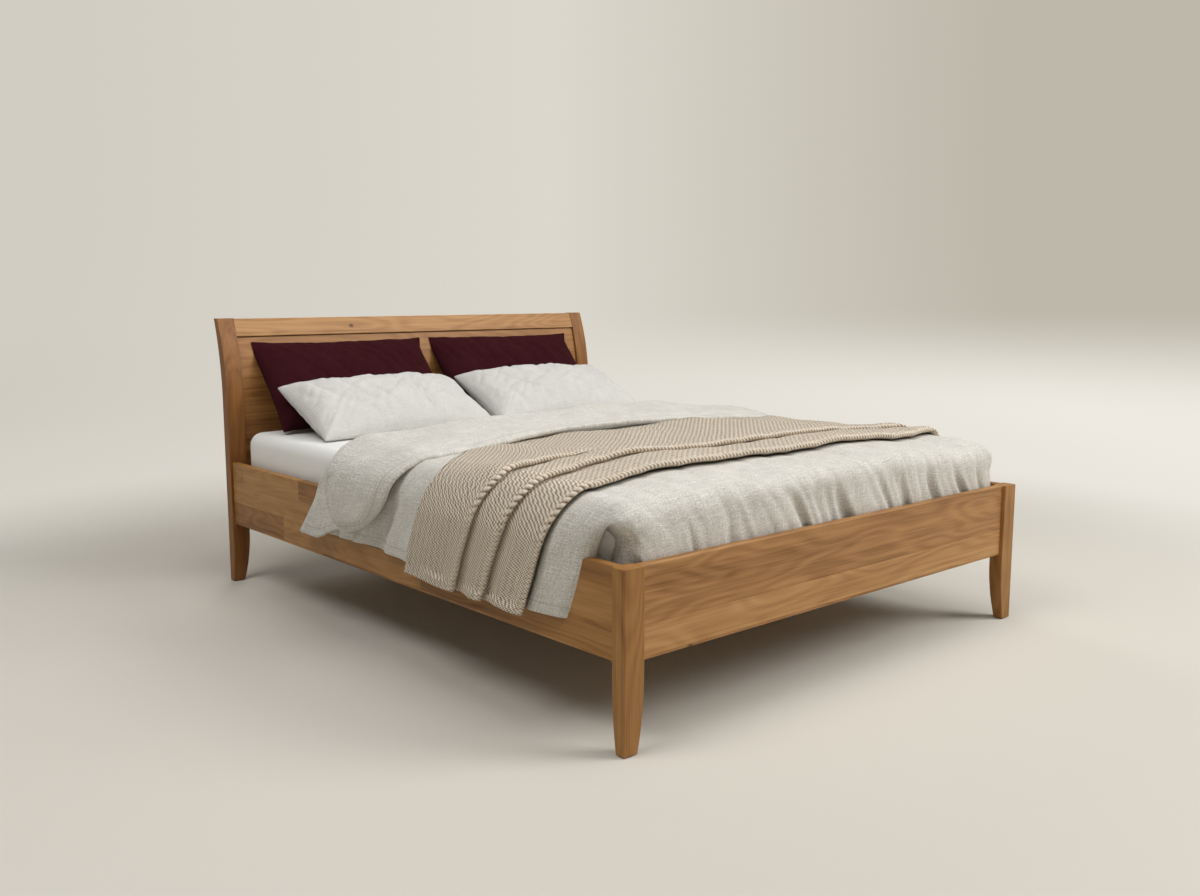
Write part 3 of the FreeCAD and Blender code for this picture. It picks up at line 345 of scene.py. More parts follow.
steel = plain("zinc_steel", paint(170, 172, 175), 0.35, 1.0)
felt = plain("felt", paint(92, 84, 76), 0.95)
tape = plain("slat_tape", paint(225, 222, 214), 0.85)
FINE_THREAD = 1400.0
sheet_jersey = cloth("sheet_jersey", paint(242, 242, 240), paint(232, 232, 230), FINE_THREAD, 0.25, 0.1)
duvet_linen = sewn_linen("duvet_linen", paint(234, 232, 226), paint(174, 170, 162))
burgundy_cotton = cloth("burgundy_cotton", paint(60, 20, 26), paint(42, 10, 16), FINE_THREAD, 0.3, 0.15)
pillow_linen = cloth("pillow_linen", paint(224, 224, 220), paint(190, 188, 183), slub=0.6)
# The throw's darkest colour is painted shade between its stitches.
throw_knit = knit("throw_knit", paint(238, 231, 219), paint(206, 191, 170), paint(114, 92, 68))


# A piece takes the first finish whose start fits its name. Bedding is replaced by pieces of its own below.
FINISHES = (
    ("head_post", head_post_wood),
    ("foot_post", foot_post_wood),
    ("headboard_panel", panel_wood),
    ("side_rail", rail_wood),
    (("headboard_dowels", "footboard_dowels", "slat_0", "slat_1"), slat_wood),
    (("headboard", "footboard"), board_wood),
    (("slat_ledge", "centre_beam"), batten_wood),
    ("centre_leg", leg_wood),
    ("slat_tape", tape),
    ("floor_glides", felt),
    ("", steel),
)
for name in nodes:
    nodes[name].data.materials.clear()
    nodes[name].data.materials.append(next(finish for start, finish in FINISHES if name.startswith(start)))


# Cloth helpers
def smooth(value):
    value = np.clip(value, 0.0, 1.0)
    return value * value * (3 - 2 * value)


def ripple(first, second, size, seed, ridged=False):
    """Soft random swelling over two coordinates, from -1 to 1, or 0 to 1 with sharp crests."""
    found = [noise.noise((a / size[0], b / size[1], seed)) for a, b in zip(first, second)]
    found = np.array(found)
    return 1 - np.abs(found) * 2 if ridged else found


def points_of(piece):
    found = np.empty(len(piece.data.vertices) * 3)
    piece.data.vertices.foreach_get("co", found)
    return found.reshape(-1, 3)


def set_points(piece, points):
    piece.data.vertices.foreach_set("co", np.asarray(points, dtype=float).ravel())
    piece.data.update()


def new_piece(name, form, material):
    mesh = bpy.data.meshes.new(name)
    form.to_mesh(mesh)
    form.free()
    mesh.shade_smooth()
    mesh.materials.append(material)
    piece = bpy.data.objects.new(name, mesh)
    scene.collection.objects.link(piece)
    return piece


def by_height(part):
    """A point's, edge's or face's place as a key to sort by, from low to high."""
    points = [part] if isinstance(part, bmesh.types.BMVert) else part.verts
    return [round(sum(point.co[axis] for point in points) / len(points), 6) for axis in (2, 1, 0)]


def in_order(form):
    """Number a form's points, edges and faces by their place, so that they are the same each run."""
    for parts in (form.verts, form.edges, form.faces):
        rank = {part: number for number, part in enumerate(sorted(parts, key=by_height))}
        parts.sort(key=rank.get)
        parts.index_update()


def cloth_grid(name, material, across, along, kept=None):
    """A flat piece of cloth with its flat coordinates, in metres, as its UV map."""
    form = bmesh.new()
    bmesh.ops.create_grid(form, x_segments=len(across) - 1, y_segments=len(along) - 1, size=1)
    for point in form.verts:
        point.co.x = across[round((point.co.x + 1) / 2 * (len(across) - 1))]
        point.co.y = along[round((point.co.y + 1) / 2 * (len(along) - 1))]
    if kept:
        cut = [face for face in form.faces if not kept(face.calc_center_median())]
        bmesh.ops.delete(form, geom=cut, context="FACES")
    flat = form.loops.layers.uv.new("flat")
    for face in form.faces:
        for corner in face.loops:
            corner[flat].uv = corner.vert.co.xy
    return new_piece(name, form, material)


def even(low, high, step):
    return list(np.linspace(low, high, max(2, round((high - low) / step) + 1)))


FLAT_HALF = CLOTH_SIDE - EDGE_ROUND
ARC_LENGTH = EDGE_ROUND * math.pi / 2
HANG = BED_TOP - EDGE_ROUND - HEM_HEIGHT
HALF_FLAT = FLAT_HALF + ARC_LENGTH + HANG


CROWN_SHARE, CROWN_HALF, CROWN_SLOPE = 0.4, 0.3, 0.5


def crowned(across):
    """Share of the loft that is left towards the sides of the bed."""
    return 1 - CROWN_SHARE * smooth((np.abs(across) - CROWN_HALF) / CROWN_SLOPE)


def over_bed(across, lift):
    """x, z and the fall of cloth that lies across the bed, lifted off the mattress."""
    reach = np.abs(across)
    turn = np.clip((reach - FLAT_HALF) / ARC_LENGTH, 0, 1) * math.pi / 2
    hang = np.maximum(reach - FLAT_HALF - ARC_LENGTH, 0)
    x = np.minimum(reach, FLAT_HALF) + (EDGE_ROUND + SIDE_LOFT_SHARE * lift) * np.sin(turn)
    fall = (EDGE_ROUND + lift) * (1 - np.cos(turn)) + hang
    return np.sign(across) * x, BED_TOP + lift - fall, fall


def mark(piece, name, values):
    """Keep a number for each point of a piece, for its material to read."""
    kept = piece.data.attributes.new(name, "FLOAT", "POINT")
    kept.data.foreach_set("value", np.asarray(values, dtype=float))


def weigh(piece, name, weights):
    group = piece.vertex_groups.new(name=name)
    for index, weight in enumerate(weights):
        group.add([index], float(weight), "REPLACE")
    return name


def thicken(piece, thickness, shares):
    """Give cloth its filling on the inner side, as shares of a thickness."""
    solid = piece.modifiers.new("Filling", "SOLIDIFY")
    solid.thickness = thickness
    solid.offset = -1
    solid.vertex_group = weigh(piece, "filling", shares)
    return settle(piece)


def plump(piece, pressure, slack, stiffness, cap, frames=20):
    """Blow up a sewn, filled piece so that its cloth wrinkles, no point going further than a cap."""
    laid = points_of(piece)
    move = piece.modifiers.new("Filling", "CLOTH")
    move.settings.quality = 5
    move.settings.mass = 0.2
    move.settings.tension_stiffness = move.settings.compression_stiffness = 20
    move.settings.shear_stiffness = 5
    move.settings.bending_stiffness = stiffness
    move.settings.shrink_min = -slack
    move.settings.use_pressure = True
    move.settings.uniform_pressure_force = pressure
    move.settings.effector_weights.gravity = 0
    move.collision_settings.use_collision = False
    for number in range(1, frames + 1):
        scene.frame_set(number)
    settle(piece)
    scene.frame_set(1)
    moved = points_of(piece) - laid
    far = np.maximum(np.linalg.norm(moved, axis=1, keepdims=True), 1e-9)
    set_points(piece, laid + moved * cap * np.tanh(far / cap) / far)
    return piece


def soften(piece):
    smoother = piece.modifiers.new("Soften", "SUBSURF")
    smoother.levels = smoother.render_levels = 1
    return settle(piece)


def settle(piece):
    """Apply a piece's modifiers to its mesh."""
    graph = bpy.context.evaluated_depsgraph_get()
    done = bpy.data.meshes.new_from_object(piece.evaluated_get(graph), depsgraph=graph)
    piece.modifiers.clear()
    piece.data = done
    return piece


def ease(piece, chosen, times):
    """Smooth the chosen points of a piece, as cloth does by itself at a sharp turn."""
    form = bmesh.new()
    form.from_mesh(piece.data)
    form.verts.ensure_lookup_table()
    near = [form.verts[index] for index in np.flatnonzero(chosen)]
    ways = {"use_axis_x": True, "use_axis_y": True, "use_axis_z": True}
    for _ in range(times):
        bmesh.ops.smooth_vert(form, verts=near, factor=0.5, **ways)
    form.to_mesh(piece.data)
    form.free()


def joined(name, pieces):
    form = bmesh.new()
    for piece in pieces:
        form.from_mesh(piece.data)
    material = pieces[0].data.materials[0]
    for piece in pieces:
        bpy.data.objects.remove(piece)
    return new_piece(name, form, material)


# Mattress in its fitted sheet
HEAD_CORNER, FOOT_CORNER, SHEET_RIM = 0.07, 0.11, 0.042


def rounded(form, edges, radius, segments):
    bmesh.ops.bevel(
        form, geom=edges, offset=radius, affect="EDGES", segments=segments, profile=0.5, material=-1
    )


def make_mattress():
    form = bmesh.new()
    bmesh.ops.create_cube(form, size=1)
    low = MATTRESS_LOW + Vector((0, TUCK_ROOM, 0))
    size = MATTRESS_HIGH - low
    bmesh.ops.scale(form, vec=size, verts=form.verts)
    bmesh.ops.translate(form, vec=(low + MATTRESS_HIGH) / 2, verts=form.verts)
    upright = [e for e in form.edges if abs(e.verts[0].co.z - e.verts[1].co.z) > size.z / 2]
    upright.sort(key=lambda e: -e.verts[0].co.y)
    rounded(form, upright[:2], HEAD_CORNER, 8)
    rounded(form, upright[2:], FOOT_CORNER, 8)
    level = [f for f in form.faces if abs(f.normal.z) > 0.9]
    rounded(form, list(dict.fromkeys(e for f in level for e in f.edges)), SHEET_RIM, 6)
    in_order(form)
    flat = form.loops.layers.uv.new("flat")
    for face in form.faces:
        for corner in face.loops:
            at = corner.vert.co
            corner[flat].uv = (at.x + at.z, at.y) if abs(face.normal.y) < 0.7 else (at.x, at.z)
    piece = new_piece("mattress_in_sheet", form, sheet_jersey)
    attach(piece, "mattress")
    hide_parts("mattress")
    return piece


# Duvet
FOOT_GAP = 0.004
FOOT_PLANE = FOOTBOARD_INNER + FOOT_GAP
FOOT_ROUND = 0.045
FOOT_ARC = FOOT_ROUND * math.pi / 2
FOOT_EDGE_SHARE = 0.6
FOOT_EDGE = FOOT_ARC * FOOT_EDGE_SHARE
TUCK = 0.11
# The foot corner is notched. Its side and its front each turn in at a lip, the front one with a gusset behind
# the side, and a dart closes the peak where they meet.
NOTCH_REACH = 0.055
NOTCH = FLAT_HALF + NOTCH_REACH
SIDE_LIP, FRONT_LIP, LIP_ROUND, LIP_TURN = 0.06, 0.025, 0.028, 1.7
GUSSET, PEAK, DART = 0.09, 0.015, 0.025
LOWER_END = FOLD_Y - TURNBACK_LEG - FOOT_PLANE - FOOT_ROUND + FOOT_ARC
# How far the turned-back end's hem is from the foot face: at the left edge, in the middle, at the right edge.
HEM_LINE = (0.895, 0.985, 0.950)
HEM_BEND, THROW_BEND = (0.05, 0.62), (0.5, 0.87)
HEM_CORNER, HEM_SINK = 0.20, 0.024
LOWER_FILLING, TURNBACK_FILLING = 0.022, 0.026
# Patterns in the cloth: the size of their waves both ways and a seed.
SOFT_SWELL, FINE_CREASE, SIDE_WAVE = ((0.26, 0.2), 1.3), ((0.13, 0.4), 8.8), ((0.07, 1.0), 6.6)
FOOT_SLANT, FOOT_PATCH = ((0.35, 1.0), 5.1), ((0.22, 0.5), 9.9)
FOOT_FOLD, FOOT_PIT = ((0.06, 0.7), 4.4), ((0.05, 0.6), 2.2)
TURNBACK_SWELL, TURNBACK_CREASE, THROW_SAG = ((0.22, 0.16), 3.7), ((0.3, 0.10), 6.1), ((0.16, 0.10), 3.3)
# How high a swell or a wave stands, and how deep a crease, a fold or a pit is.
SWELL_RISE, WAVE_RISE, SAG_RISE = 0.012, 0.030, 0.003
CREASE_DEPTH, FOLD_DEPTH, PIT_DEPTH, PLEAT_DEPTH, TURNBACK_DEPTH = 0.004, 0.006, 0.020, 0.005, 0.005
# The turned-back end where it hangs: a full lobe beside a deep crease.
LOBE_RISE, LOBE_CREASE, LOBE_CREASE_WIDTH = 0.062, 0.036, 0.016


def across_bed(left, middle, right, side, bend):
    """A place along the bed that is another at its edges than in its middle."""
    edge = np.where(side < 0, left, right)
    return FOOT_FACE + middle + (edge - middle) * smooth((np.abs(side) - bend[0]) / (bend[1] - bend[0]))


def curled(length):
    """How far a lip of cloth falls short and turns in, by its length from where it starts to turn."""
    length = np.maximum(length, 0)
    angle = np.minimum(length / LIP_ROUND, LIP_TURN)
    straight = length - LIP_ROUND * angle
    out = LIP_ROUND * np.sin(angle) + straight * np.cos(angle)
    return np.array((length - out, LIP_ROUND * (1 - np.cos(angle)) + straight * np.sin(angle)))


def creases(s, t, size, seed):
    """Soft folds with sharp crests, from 0 to 1."""
    return np.clip(ripple(s, t, size, seed, ridged=True), 0, 1) ** 2


def make_lower_duvet():
    """The part that lies on the bed, tucked in at the foot and hanging at the sides."""
    across, along = even(-HALF_FLAT, HALF_FLAT, 0.75 * CLOTH_STEP), even(-TUCK, LOWER_END, CLOTH_STEP)

    # what is left of the cloth beside the notch
    def kept(at):
        reach = GUSSET if at.y < FOOT_EDGE - PEAK else DART
        return at.y > FOOT_EDGE or abs(at.x) < NOTCH + reach

    piece = cloth_grid("duvet_lower", duvet_linen, across, along, kept)
    s, t = points_of(piece)[:, :2].T
    hem = HALF_FLAT - np.abs(s)
    beyond = np.abs(s) - NOTCH
    # loft, swells and creases, with slanted folds near the foot and waves where it hangs
    slanted = s + t * (0.5 + 0.7 * ripple(s, s * 0, *FOOT_SLANT))
    near_foot = smooth((0.17 - t) / 0.15) * smooth(0.55 + 1.2 * ripple(s, t, *FOOT_PATCH))
    lift = DUVET_LOFT * crowned(s) + ripple(s, t, *SOFT_SWELL) * SWELL_RISE
    lift = lift - creases(s, t, *FINE_CREASE) * CREASE_DEPTH
    lift = lift - SWELL_RISE * smooth((0.2 - t) / 0.2)
    lift = lift + ripple(t, t * 0, *SIDE_WAVE) * WAVE_RISE * smooth((np.abs(s) - FLAT_HALF) / 0.2)
    folds = creases(slanted, t, *FOOT_FOLD)
    lift = lift - folds * FOLD_DEPTH * near_foot
    x, z, fall = over_bed(s, lift)
    # round the mattress's foot edge and down behind the footboard
    turn = np.clip(t / FOOT_ARC, 0, 1) * math.pi / 2
    down = np.where(t < 0, FOOT_ROUND - t, FOOT_ROUND * (1 - np.sin(turn)))
    beside = (beyond > 0) & (t > FOOT_EDGE - PEAK / 2)
    down = np.where(beside, 0, down)
    y = FOOT_PLANE + FOOT_ROUND * (1 - np.cos(turn)) + np.maximum(t - FOOT_ARC, 0)
    lean = FOOT_LEAN + (FOLD_LEAN - FOOT_LEAN) * smooth((y - FOOT_PLANE) / (FOLD_Y - FOOT_PLANE))
    pits = np.clip(ripple(slanted, t, *FOOT_PIT) * 2.4 - 0.2, 0, 1)
    tucked = PIT_DEPTH * pits * smooth((0.02 - t) / 0.09) + PLEAT_DEPTH * folds * smooth((0.06 - t) / 0.1)
    y = y + lean * fall + np.where(beside, 0, tucked)
    # the side's lip turns in across the bed
    short, inward = curled(FOOT_EDGE + SIDE_LIP - t) * np.where(beside, smooth(beyond / 0.07), 0)
    y, x = y + short, x - np.sign(s) * inward
    # the front's lip turns in along the bed, and the front narrows downwards
    front = np.where(beside, 0, smooth((FOOT_EDGE - t) / PEAK))
    short, inward = curled(beyond + FRONT_LIP) * front
    x = x + (s - x) * front - np.sign(s) * short
    y = y - lean * fall * front + inward
    z = z + fall * front
    x = x * (1 - np.where(s < 0, 0.045, 0.025) * smooth((down - 0.02) / 0.06))
    longer = 0.022 * smooth((np.abs(s) - FLAT_HALF) / 0.3) * (1 - smooth(t / 0.9)) * (1 - front)
    set_points(piece, np.column_stack([x, y, z - down - longer]))
    ease(piece, np.hypot(beyond, t - FOOT_EDGE) < 0.04, 5)
    mark(piece, "hem", hem)
    thicken(piece, LOWER_FILLING, np.where(down > 0.02, 0.4, 0.3 + 0.7 * smooth(hem / 0.06)))
    plump(piece, 3.0, 0.012, 0.3, 0.007)
    points = points_of(piece)
    points[:, 1] = np.maximum(points[:, 1], FOOTBOARD_INNER + WOOD_GAP)
    set_points(piece, points)
    return soften(piece)


def make_turnback():
    """The turned-back end: out from under, round the fold and back over the duvet to its hem."""
    leg, roll, corner = TURNBACK_LEG, TURNBACK_ROUND * math.pi, HEM_CORNER
    top = FOLD_Y - FOOT_FACE - min(HEM_LINE)
    end = leg + roll + top
    piece = cloth_grid(
        "duvet_turnback", duvet_linen, even(-HALF_FLAT, HALF_FLAT, CLOTH_STEP), even(0, end, CLOTH_STEP)
    )
    s, t = points_of(piece)[:, :2].T
    length = FOLD_Y - across_bed(*HEM_LINE, s, HEM_BEND)
    hem = np.minimum(HALF_FLAT - np.abs(s), end - t)
    # rounded corners
    a = np.clip((np.abs(s) - HALF_FLAT + corner) / corner, 0, 1)
    b = np.clip((t - end + corner) / corner, 0, 1)
    across = np.where(a > 0, HALF_FLAT - corner + corner * a * np.sqrt(1 - b * b / 2), np.abs(s))
    s, t = np.sign(s) * across, np.where(b > 0, end - corner + corner * b * np.sqrt(1 - a * a / 2), t)
    # round the fold, then flat towards the hem
    phi = np.clip((t - leg) / roll, 0, 1) * math.pi
    share = np.maximum(t - leg - roll, 0) / top
    lift = 0.004 + (TURNBACK_ROUND * (1 - np.cos(phi)) - HEM_SINK * smooth(share)) * crowned(s)
    puff = ripple(s, t, *TURNBACK_SWELL) * SWELL_RISE - creases(s, t, *TURNBACK_CREASE) * TURNBACK_DEPTH
    lift = lift + puff * smooth((phi - 1.2) / 1.5)
    short = (0.041 * smooth((share - 0.2) / 0.2) - 0.016) / (HALF_FLAT - FLAT_HALF)
    s = np.sign(s) * (np.abs(s) - np.maximum(np.abs(s) - FLAT_HALF, 0) * short)
    fall = over_bed(s, lift)[2]
    lean = FOLD_LEAN + (HEM_LEAN - FOLD_LEAN) * share
    y = FOLD_Y - np.maximum(leg - t, 0) + TURNBACK_ROUND * np.sin(phi) - length * share + lean * fall
    # the lobe and the crease where it hangs
    crease_y = FOLD_Y + 0.075 - 0.05 * smooth((fall - 0.16) / 0.12)
    crease = np.exp(-(((y - crease_y) / LOBE_CREASE_WIDTH) ** 2))
    lobe = smooth((crease_y - y) / 0.07) * (0.4 + 0.6 * smooth(hem / 0.06))
    hanging = smooth((fall - 0.01) / 0.10) * smooth((phi - 2.2) / 0.9)
    lift = lift + (LOBE_RISE * lobe - LOBE_CREASE * crease) * hanging
    x, z, _ = over_bed(s, lift)
    set_points(piece, np.column_stack([x, y, z]))
    mark(piece, "hem", hem)
    piece.data.flip_normals()
    thicken(piece, TURNBACK_FILLING, np.where(phi > 1.5, 0.5 + 0.5 * smooth(hem / 0.04), 0.9))
    plump(piece, 3.0, 0.015, 0.3, 0.008)
    return soften(piece)


def make_duvet(lower):
    piece = joined("duvet_cover", [lower, make_turnback()])
    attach(piece, "mattress")
    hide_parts("duvet")
    return piece


# Throw

# Lines along the throw, from its foot edge over its two pleat edges to its head edge: how far each is from
# the foot face at the left edge, in the middle and at the right edge of the bed, and its lean where it hangs.
THROW_LINES = (
    (0.215, 0.240, 0.270, 0.40),
    (0.377, 0.430, 0.370, 0.43),
    (0.505, 0.585, 0.585, 0.40),
    (0.745, 0.972, 0.945, 0.43),
)
# A pleat's edge from the layer below round to the layer above: shift along the bed, rise, share of rope.
PLEAT_NOSE = (
    (0.018, 0.000, 0.0),
    (0.002, 0.005, 0.0),
    (-0.007, 0.009, 0.5),
    (-0.010, 0.014, 1.0),
    (-0.006, 0.020, 1.0),
    (0.004, 0.0235, 0.5),
    (0.018, 0.024, 0.0),
)
PLEAT_TAIL = ((-0.050, 0.015, 0.0), (-0.032, 0.006, 0.0), (-0.015, 0.001, 0.0))
PLEAT_END = (-0.60, -0.36)
LAYER_RISE = 0.010
THROW_STEP = 0.018
STITCH_STEP = 0.003
ROPE_STITCH, ROPE_RISE, ROPE_SLANT = 0.0135, 0.003, 0.16
THROW_LONGER, THROW_GAP, YARN = 0.024, 0.005, 0.004
HEAD_EDGE_SINK, PLEAT_SINK = 0.022, 0.008


def throw_path():
    """Samples along the throw: the line each belongs to, its share of the way to the next line, its shift
    along the bed as a pleat and laid flat, its rise and its share of rope."""
    samples = []
    for line in range(3):
        pleat = (PLEAT_TAIL if line else ()) + PLEAT_NOSE
        opened = np.linspace(pleat[0][0], pleat[-1][0], len(pleat))
        samples += [(line, 0.0, shift, flat, rise, rope) for (shift, rise, rope), flat in zip(pleat, opened)]
        count = round((THROW_LINES[line + 1][1] - THROW_LINES[line][1]) / THROW_STEP)
        sink = HEAD_EDGE_SINK if line == 2 else PLEAT_SINK
        for step in range(1, count + (line == 2)):
            share = step / count
            samples.append((line, share, 0.0, 0.0, PLEAT_NOSE[-1][1] - sink * float(smooth(share)), 0.0))
    return samples


def throw_line(index, side, fall):
    *places, lean = THROW_LINES[index]
    return across_bed(*places, side, THROW_BEND) + lean * fall


def resting_lift(s, y, under):
    """How far off the mattress the cloth below carries a point, met from outside."""
    wall = BVHTree.FromObject(under, bpy.context.evaluated_depsgraph_get())
    high = 0.15
    outer, inner = (over_bed(s, np.full_like(s, value))[:2] for value in (high, 0.0))
    found = np.full(len(s), DUVET_LOFT)
    for i, at in enumerate(y):
        start = Vector((outer[0][i], at, outer[1][i]))
        way = Vector((inner[0][i], at, inner[1][i])) - start
        far = wall.ray_cast(start, way.normalized(), way.length)[3]
        if far is not None:
            found[i] = high * (1 - far / way.length)
    return found


def bridged(rows, times):
    """Let the cloth span the hollows below it."""
    for _ in range(times):
        wide = np.pad(rows, 1, mode="edge")
        near = (wide[:-2, 1:-1] + wide[2:, 1:-1] + wide[1:-1, :-2] + wide[1:-1, 2:]) / 4
        rows = np.maximum(rows, near)
    return rows


def make_throw(under):
    samples = throw_path()
    reach = HALF_FLAT + THROW_LONGER
    across = even(-reach, reach, STITCH_STEP)
    piece = cloth_grid("knitted_throw", throw_knit, across, [float(i) for i in range(len(samples))])
    s, index = points_of(piece)[:, :2].T
    line, share, shift, opened, rise, rope = np.array([samples[round(i)] for i in index]).T
    side, _, fall = over_bed(s, np.full_like(s, DUVET_LOFT))
    lines = np.array([throw_line(i, side, fall) for i in range(4)])
    each, number = np.arange(len(s)), line.astype(int)
    depth = 0.85 + 0.6 * smooth((fall - 0.02) / 0.12)
    # the pleat next to the head edge opens out towards the middle of the bed
    folded = np.where(number == 2, smooth((PLEAT_END[1] - side) / (PLEAT_END[1] - PLEAT_END[0])), 1.0)
    shift, rope = opened + (shift - opened) * folded, rope * folded * (1 - 0.65 * smooth((fall - 0.03) / 0.1))
    layer = LAYER_RISE - PLEAT_SINK * smooth(share)
    rise = layer + (rise - layer) * folded
    start = lines[number, each] + PLEAT_NOSE[-1][0] * depth
    finish = lines[number + 1, each] + np.where(number == 2, 0, PLEAT_TAIL[0][0]) * depth
    y = np.where(share > 0, start + (finish - start) * share, lines[number, each] + shift * depth)
    base = resting_lift(s, y, under)
    order = np.lexsort((s, index))
    rows = bridged(base[order].reshape(len(samples), len(across)), 12)
    base[order] = rows.ravel()
    stitch = s / ROPE_STITCH + ROPE_SLANT * index
    strand = rope * ROPE_RISE * np.sin(math.pi * stitch) ** 2
    sag = ripple(s, y, *THROW_SAG) * SAG_RISE
    x, z, _ = over_bed(s, base + THROW_GAP + rise * depth + strand + sag)
    set_points(piece, np.column_stack([x, y - strand, z]))
    mark(piece, "rope", rope)
    mark(piece, "stitch", stitch)
    grid = points_of(piece)[order].reshape(len(samples), len(across), 3)
    steps = np.linalg.norm(np.diff(grid, axis=0), axis=2)
    run = np.empty(len(s))
    run[order] = np.vstack([np.zeros(len(across)), steps.cumsum(axis=0)]).ravel()
    flat = piece.data.uv_layers["flat"].data
    for loop, corner in zip(piece.data.loops, flat):
        corner.uv.y = run[loop.vertex_index]
    yarn = piece.modifiers.new("Yarn", "SOLIDIFY")
    yarn.thickness, yarn.offset = YARN, -1
    settle(piece)
    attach(piece, "mattress")
    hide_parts("throw")
    return piece


# Pillows
CASE_STEP, CASE_HALF_SEAM = 0.008, 0.003
LUMP_RISE, DRAWN_DEPTH, LONG_TUCK, SHORT_TUCK = 0.014, 0.008, 0.010, 0.007
DRAWN_PLACE, DRAWN_WIDTH = 0.10, 0.07
PILLOW_INSET, PILLOW_RISE, PILLOW_GAP, SHEET_GAP = 0.03, 0.01, 0.003, 0.002
BEFORE_BED = -3.0


def filled_case(name, material, width, height, loft, seed):
    """A sewn case with its filling: two layers bulged between the seams, drawn in along the sides."""
    form = bmesh.new()
    rows = round(width / CASE_STEP), round(height / CASE_STEP)
    bmesh.ops.create_grid(form, x_segments=rows[0], y_segments=rows[1], size=1)
    lifted = bmesh.ops.extrude_face_region(form, geom=form.faces[:], use_keep_orig=True)["geom"]
    raised = [part for part in lifted if isinstance(part, bmesh.types.BMVert)]
    bmesh.ops.translate(form, vec=(0, 0, 1), verts=raised)
    bmesh.ops.recalc_face_normals(form, faces=form.faces)
    in_order(form)
    flat = form.loops.layers.uv.new("flat")
    for face in form.faces:
        for corner in face.loops:
            corner[flat].uv = (corner.vert.co.x * width / 2, corner.vert.co.y * height / 2)
    piece = new_piece(name, form, material)
    u, v, layer = points_of(piece).T
    x, y = u * width / 2, v * height / 2
    bulge = np.sqrt(np.clip((1 - np.abs(u) ** 2.6) * (1 - np.abs(v) ** 2.2), 0, 1))
    from_side, from_end = width / 2 - np.abs(x), height / 2 - np.abs(y)
    away = np.hypot(from_side, from_end)
    way = np.arctan2(from_end, from_side) + 3 * np.sign(u) + 7 * np.sign(v)
    drawn = creases(way, away, (0.22, 0.5), seed) * np.exp(-(((away - DRAWN_PLACE) / DRAWN_WIDTH) ** 2))
    tucks = creases(x + 0.6 * y, y - 0.3 * x, (0.07, 0.22), seed + 3) * LONG_TUCK
    tucks = tucks + creases(x - 0.9 * y, y + 0.5 * x, (0.05, 0.16), seed + 8) * SHORT_TUCK
    lumps = ripple(x, y, (0.16, 0.13), seed + 5) * LUMP_RISE
    rise = (loft / 2 + lumps - DRAWN_DEPTH * drawn - tucks) * bulge
    across = x * (1 - 0.03 * (1 - v * v) * np.abs(u))
    along = y * (1 - 0.06 * (1 - u * u) * np.abs(v))
    up = np.where(layer > 0.5, 1, -1) * (CASE_HALF_SEAM + rise)
    set_points(piece, np.column_stack([across, along, up]))
    return piece


def leaned(points, angle, edge):
    """Points of a flat pillow turned up about its lower edge and moved to where that edge lies."""
    low = points[:, 1].min()
    c, s = math.cos(angle), math.sin(angle)
    y, z = points[:, 1] - low, points[:, 2]
    return np.column_stack([points[:, 0] + edge[0], y * c - z * s + edge[1], y * s + z * c + edge[2]])


def held_back(points, behind, gap):
    """Keep points in front of the pieces behind them, seen from the foot end."""
    graph = bpy.context.evaluated_depsgraph_get()
    walls = [BVHTree.FromObject(piece, graph) for piece in behind]
    for point in points:
        for wall in walls:
            hit = wall.ray_cast(Vector((point[0], BEFORE_BED, point[2])), Vector((0, 1, 0)))[0]
            if hit:
                point[1] = min(point[1], hit.y - gap)
    return points


def seated(points):
    """Keep points on top of the mattress, pressed flat where they lie on it."""
    points[:, 2] = np.maximum(points[:, 2], BED_TOP + SHEET_GAP)
    return points


def make_pillow(name, node, material, sizes, angle, seed, behind, yaw):
    low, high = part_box(node)
    piece = filled_case(name, material, *sizes, seed)
    plump(piece, 4.0, 0.012, 0.1, 0.009)
    points = points_of(piece)
    edge = ((low.x + high.x) / 2, low.y + PILLOW_INSET, BED_TOP + PILLOW_RISE)
    points = leaned(points, angle, edge)
    middle = points.mean(axis=0)
    c, s = math.cos(yaw), math.sin(yaw)
    x, y = points[:, 0] - middle[0], points[:, 1] - middle[1]
    points[:, 0], points[:, 1] = middle[0] + x * c - y * s, middle[1] + x * s + y * c
    points = held_back(seated(points), behind, PILLOW_GAP)
    set_points(piece, points)
    soften(piece)
    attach(piece, node)
    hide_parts(node)
    return piece


# Stage
PAPER_LIGHT = paint(204, 199, 188)
# Painted light and shade on the backdrop: the glowing floor and wall run lighter and darker from side to side
# and up the wall, as light falls on them.
FLOOR_SHADES = [(0.0, paint(207, 203, 193)), (1.0, paint(238, 234, 225))]
WALL_SHADES = [(0.0, paint(209, 205, 194)), (0.5, paint(219, 215, 204)), (1.0, paint(190, 184, 171))]


FLOOR_RADIUS, WALL_BEND, WALL_TOP, BEND_STEPS = 6.5, 2.5, 5.0, 12
# The floor takes the object's shadow near it and far from it shows a glowing colour with painted light and
# shade.
SHADOW_NEAR, SHADOW_FAR, WALL_START = 1.9, 3.7, 0.9
SIDE_WAY, SIDE_FROM, SIDE_TO = (0.75, -0.66, 0.0), -5.0, 4.0


def background_rays(tree):
    """1 for the rays that show the background: the camera's own, mirrored and passing through."""
    path = add(tree, "LightPath").outputs
    mirrored = maths(tree, "MAXIMUM", path["Is Glossy Ray"], path["Is Transmission Ray"])
    return maths(tree, "MAXIMUM", path["Is Camera Ray"], mirrored)


